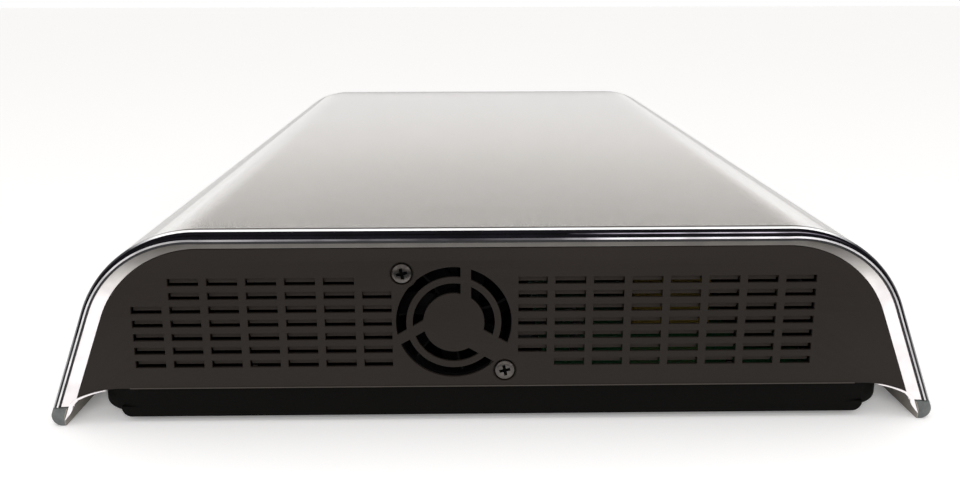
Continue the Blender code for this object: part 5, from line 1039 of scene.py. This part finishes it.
def make_audio_sockets():
    """Three nickel barrels with dyed collars and cores in a black block."""
    low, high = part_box("audio_sockets")
    new_piece("audio_block", eased_box(low, (high.x, AUDIO_FACE_Y, high.z), 0.0004), [FAN_PLASTIC],
              replaced=["audio_sockets"], slot="black_plastic")
    for x, colour, name in AUDIO_SOCKETS:
        place = Matrix.Translation((x, AUDIO_SEAT_Y, AUDIO_Z)) @ along((0, 1, 0))
        turned_piece("audio_collar_" + name, AUDIO_COLLAR, place, [colour], replaced=["audio_sockets"])
        turned_piece("audio_barrel_" + name, AUDIO_BARREL, place, [NICKEL], replaced=["audio_sockets"],
                     slot="nickel_plate")
        turned_piece("audio_core_" + name, AUDIO_CORE, place, [colour], steps=40, replaced=["audio_sockets"])


def make_contacts():
    """The network socket's sprung contacts and the mains inlet's blades."""
    contacts = bmesh.new()
    for index in range(CONTACTS):
        x = CONTACT_MIDDLE_X + (index - (CONTACTS - 1) / 2) * CONTACT_PITCH
        made = add_box(contacts, (x - CONTACT_HALF_WIDTH, CONTACT_Y[0], CONTACT_Z[0]),
                       (x + CONTACT_HALF_WIDTH, CONTACT_Y[1], CONTACT_Z[1]))
        bmesh.ops.rotate(contacts, cent=(x, CONTACT_Y[1], 0.0200), matrix=Matrix.Rotation(CONTACT_TILT, 3, "X"),
                         verts=made)
    new_piece("network_contacts", contacts, [GOLD], slot="nickel_plate")
    blades = bmesh.new()
    for x, z in INLET_BLADES:
        made = add_box(blades, (x - INLET_HALF_WIDTH, INLET_Y[0], z - INLET_HALF_HEIGHT),
                       (x + INLET_HALF_WIDTH, INLET_Y[1], z + INLET_HALF_HEIGHT))
        tips = [e for e in blades.edges if all(v in made and v.co.y > INLET_Y[1] - 0.0006 for v in e.verts)]
        bevel_edges(blades, tips, 0.0005, 2)
    new_piece("inlet_blades", blades, [NICKEL], slot="nickel_plate")


# CAD pieces that keep their shape take a finish by their slot

FINISHES = {
    "black_steel": TRAY_STEEL,
    "black_plastic": FAN_PLASTIC,
    "satin_black": SATIN,
    "gloss_black": GLOSS,
    # Zinc-plated steel, with its pale blue-grey spangle
    "zinc_steel": grained("zinc_plated_steel", "A9AEB2", "C3C7C9", 0.28, 0.0012, 0.00001, metallic=1.0, patch=0.004),
    "nickel_plate": NICKEL,
    # Die-cast aluminium, as cast, with a fine orange peel
    "cast_aluminium": grained("cast_aluminium", "A5A6A8", "BFC0C2", 0.42, 0.0006, 0.00004, metallic=1.0, patch=0.008),
    # Black-anodised extrusion
    "black_anodised": grained("anodised_aluminium", "1C1C1F", "2A2A2E", 0.35, 0.0005, 0.00001, metallic=0.6),
    # Glass-epoxy board under green solder mask
    "board_green": grained("solder_mask", "1F5A38", "2A6E46", 0.3, 0.0009, 0.00002, patch=0.005, coat=0.3),
    # Ivory LCP of the card reader
    "ivory_plastic": grained("ivory_lcp", "CFC7B4", "DAD3C2", 0.45, 0.0006, 0.00001),
    # White laminated PVC card
    "card_white": grained("laminated_pvc", "E6E6E3", "EFEFEC", 0.3, 0.0008, 0.000005, coat=0.3),
    # Yellow polyester tape round the windings
    "winding_tape": grained("polyester_tape", "6E5A22", "7C672B", 0.35, 0.002, 0.00003, patch=0.006),
    # Shrunk PVC sleeve of the capacitor
    "sleeve_blue": grained("shrunk_pvc_sleeve", "1E2E5C", "263A70", 0.28, 0.003, 0.00002),
    # Extruded PVC of the leads
    "lead_jacket": grained("extruded_pvc", "1B1B1B", "272727", 0.45, 0.0007, 0.00002),
    # Grey polyester ribbon
    "ribbon_grey": grained("polyester_ribbon", "8B8E92", "A2A5A8", 0.4, 0.0012, 0.00003, patch=0.0015),
    # Sputtered glass discs of the drive
    "platter_mirror": grained("sputtered_platter", "B9BBC0", "C4C6CA", 0.05, 0.004, 0.000001, metallic=1.0),
    # Smoked acrylic of the display window
    "smoked_window": grained("smoked_acrylic", "101114", "15161A", 0.04, 0.003, 0.000001, coat=0.6),
    "grey_elastomer": ELASTOMER,
    "clear_acrylic": GLASS,
}
for node in NODES.values():
    for holder in node.material_slots:
        holder.material = FINISHES[holder.name]

make_button()
make_rf_sockets()
make_audio_sockets()
make_contacts()


# Studio

# The photograph's camera; its focal length is in pixels of the picture's width
CAMERA_PLACE = Vector((0.4492, -0.00829, 0.12228))
CAMERA_YAW, CAMERA_PITCH, CAMERA_ROLL = -0.016025, 0.261786, -0.002034
FOCAL_PIXELS, PICTURE_PIXELS, SENSOR_WIDTH = 986.63, 960, 36.0
# Rise of a ray, level of the studio there, and how warm it is
STUDIO_STOPS = ((0.10, 1.0, 0.015), (0.125, 0.99, 0.025), (0.15, 0.90, 0.04), (0.18, 0.69, 0.06), (0.20, 0.54, 0.07),
                (0.22, 0.40, 0.08), (0.24, 0.34, 0.08), (0.45, 0.46, 0.05), (0.75, 0.90, 0.01), (1.0, 1.0, 0.0))
# Blue loses this many times what green loses to the warmth
BLUE_LOSS = 1.6
# From this X on, in front of the fan end, gloss mirrors black card in place of the paper
BLACK_CARD_X = 0.26
FLOOR_REACH = 6


def make_camera():
    forward = Vector((-cos(CAMERA_YAW) * cos(CAMERA_PITCH), -sin(CAMERA_YAW) * cos(CAMERA_PITCH), -sin(CAMERA_PITCH)))
    right = forward.cross(Vector((0, 0, 1))).normalized()
    up = right.cross(forward)
    turned_right = right * cos(CAMERA_ROLL) + up * sin(CAMERA_ROLL)
    turned_up = up * cos(CAMERA_ROLL) - right * sin(CAMERA_ROLL)
    camera = add_to_scene("camera", bpy.data.cameras.new("camera"))
    camera.data.sensor_width = SENSOR_WIDTH
    camera.data.lens = FOCAL_PIXELS * SENSOR_WIDTH / PICTURE_PIXELS
    camera.data.clip_start = 0.01
    turn = Matrix((turned_right, turned_up, -forward)).transposed()
    camera.matrix_world = Matrix.Translation(CAMERA_PLACE) @ turn.to_4x4()
    bpy.context.scene.camera = camera


def light_path(tree):
    """The light path's node, and 1 for what the camera sees itself or through glass."""
    ray = add_node(tree, "LightPath")
    seen = add_node(tree, "Math", {"operation": "MAXIMUM"},
                    {0: ray.outputs["Is Camera Ray"], 1: ray.outputs["Is Transmission Ray"]})
    return ray, seen.outputs[0]


def make_world():
    """White to the camera and through glass; elsewhere a studio that is a little dimmer above the horizon."""
    world = bpy.data.worlds.new("studio")
    world.use_nodes = True
    bpy.context.scene.world = world
    tree = world.node_tree
    tree.nodes.clear()
    output = tree.nodes.new("ShaderNodeOutputWorld")
    seen = light_path(tree)[1]
    way = add_node(tree, "TexCoord").outputs["Generated"]
    rise = add_node(tree, "SeparateXYZ", links={"Vector": way}).outputs["Z"]
    ramp = add_node(tree, "ValToRGB", links={"Fac": rise})
    fill_ramp(ramp, [(place, (level, level * (1 - warmth), level * (1 - BLUE_LOSS * warmth), 1))
                     for place, level, warmth in STUDIO_STOPS])
    mix = add_node(tree, "Mix", {"data_type": "RGBA", 7: (1, 1, 1, 1)}, {0: seen, 6: ramp.outputs["Color"]})
    back = add_node(tree, "Background", {"Strength": 1.0}, {"Color": mix.outputs[2]})
    tree.links.new(back.outputs["Background"], output.inputs["Surface"])


def white_paper():
    """Seamless white paper, lifted to white where the camera sees it; it keeps the recorder's shadow.

    In front of the fan end gloss mirrors black card instead, as it does in a studio."""
    material, tree, output = new_material("white_paper")
    ray, seen = light_path(tree)
    spot = add_node(tree, "TexCoord").outputs["Object"]
    x = add_node(tree, "SeparateXYZ", links={"Vector": spot}).outputs["X"]
    ahead = add_node(tree, "Math", {"operation": "GREATER_THAN", 1: BLACK_CARD_X}, {0: x})
    card = add_node(tree, "Math", {"operation": "MULTIPLY"},
                    {0: ahead.outputs[0], 1: ray.outputs["Is Glossy Ray"]})
    extra = add_node(tree, "Math", {"operation": "MULTIPLY", 1: 0.2}, {0: seen})
    lift = add_node(tree, "Math", {"operation": "MULTIPLY", 1: 0.1}, {0: seen})
    body = add_node(tree, "BsdfDiffuse", {"Color": linear("F4F4F4")})
    more = add_node(tree, "BsdfDiffuse", links={"Color": extra.outputs[0]})
    glow = add_node(tree, "Emission", {"Color": (1, 1, 1, 1)}, {"Strength": lift.outputs[0]})
    pair = add_node(tree, "AddShader", links={0: body.outputs[0], 1: more.outputs[0]})
    paper = add_node(tree, "AddShader", links={0: pair.outputs[0], 1: glow.outputs[0]})
    black = add_node(tree, "BsdfDiffuse", {"Color": linear("181818")})
    both = add_node(tree, "MixShader", links={0: card.outputs[0], 1: paper.outputs[0], 2: black.outputs[0]})
    tree.links.new(both.outputs[0], output.inputs["Surface"])
    return material


def make_floor():
    bm = bmesh.new()
    made = bmesh.ops.create_grid(bm, x_segments=1, y_segments=1, size=0.5)["verts"]
    bmesh.ops.scale(bm, vec=(2 * FLOOR_REACH, 2 * FLOOR_REACH, 1), verts=made)
    mesh = mesh_of("floor", bm)
    mesh.materials.append(white_paper())
    add_to_scene("floor", mesh)


def make_lamp(name, place, target, size, watts):
    """A square lamp that lights matt surfaces only: neither gloss nor glass shows it."""
    lamp = add_to_scene(name, bpy.data.lights.new(name, "AREA"))
    lamp.data.shape = "SQUARE"
    lamp.data.size = size
    lamp.data.energy = watts
    lamp.visible_glossy = False
    lamp.visible_transmission = False
    way = Vector(target) - Vector(place)
    lamp.matrix_world = Matrix.Translation(place) @ way.to_track_quat("-Z", "Y").to_matrix().to_4x4()


make_camera()
make_world()
make_floor()
make_lamp("front_softbox", place=(0.95, 0.0, 0.33), target=(0.185, 0, 0.03), size=0.45, watts=4.0)
bpy.context.scene.view_settings.view_transform = "Standard"
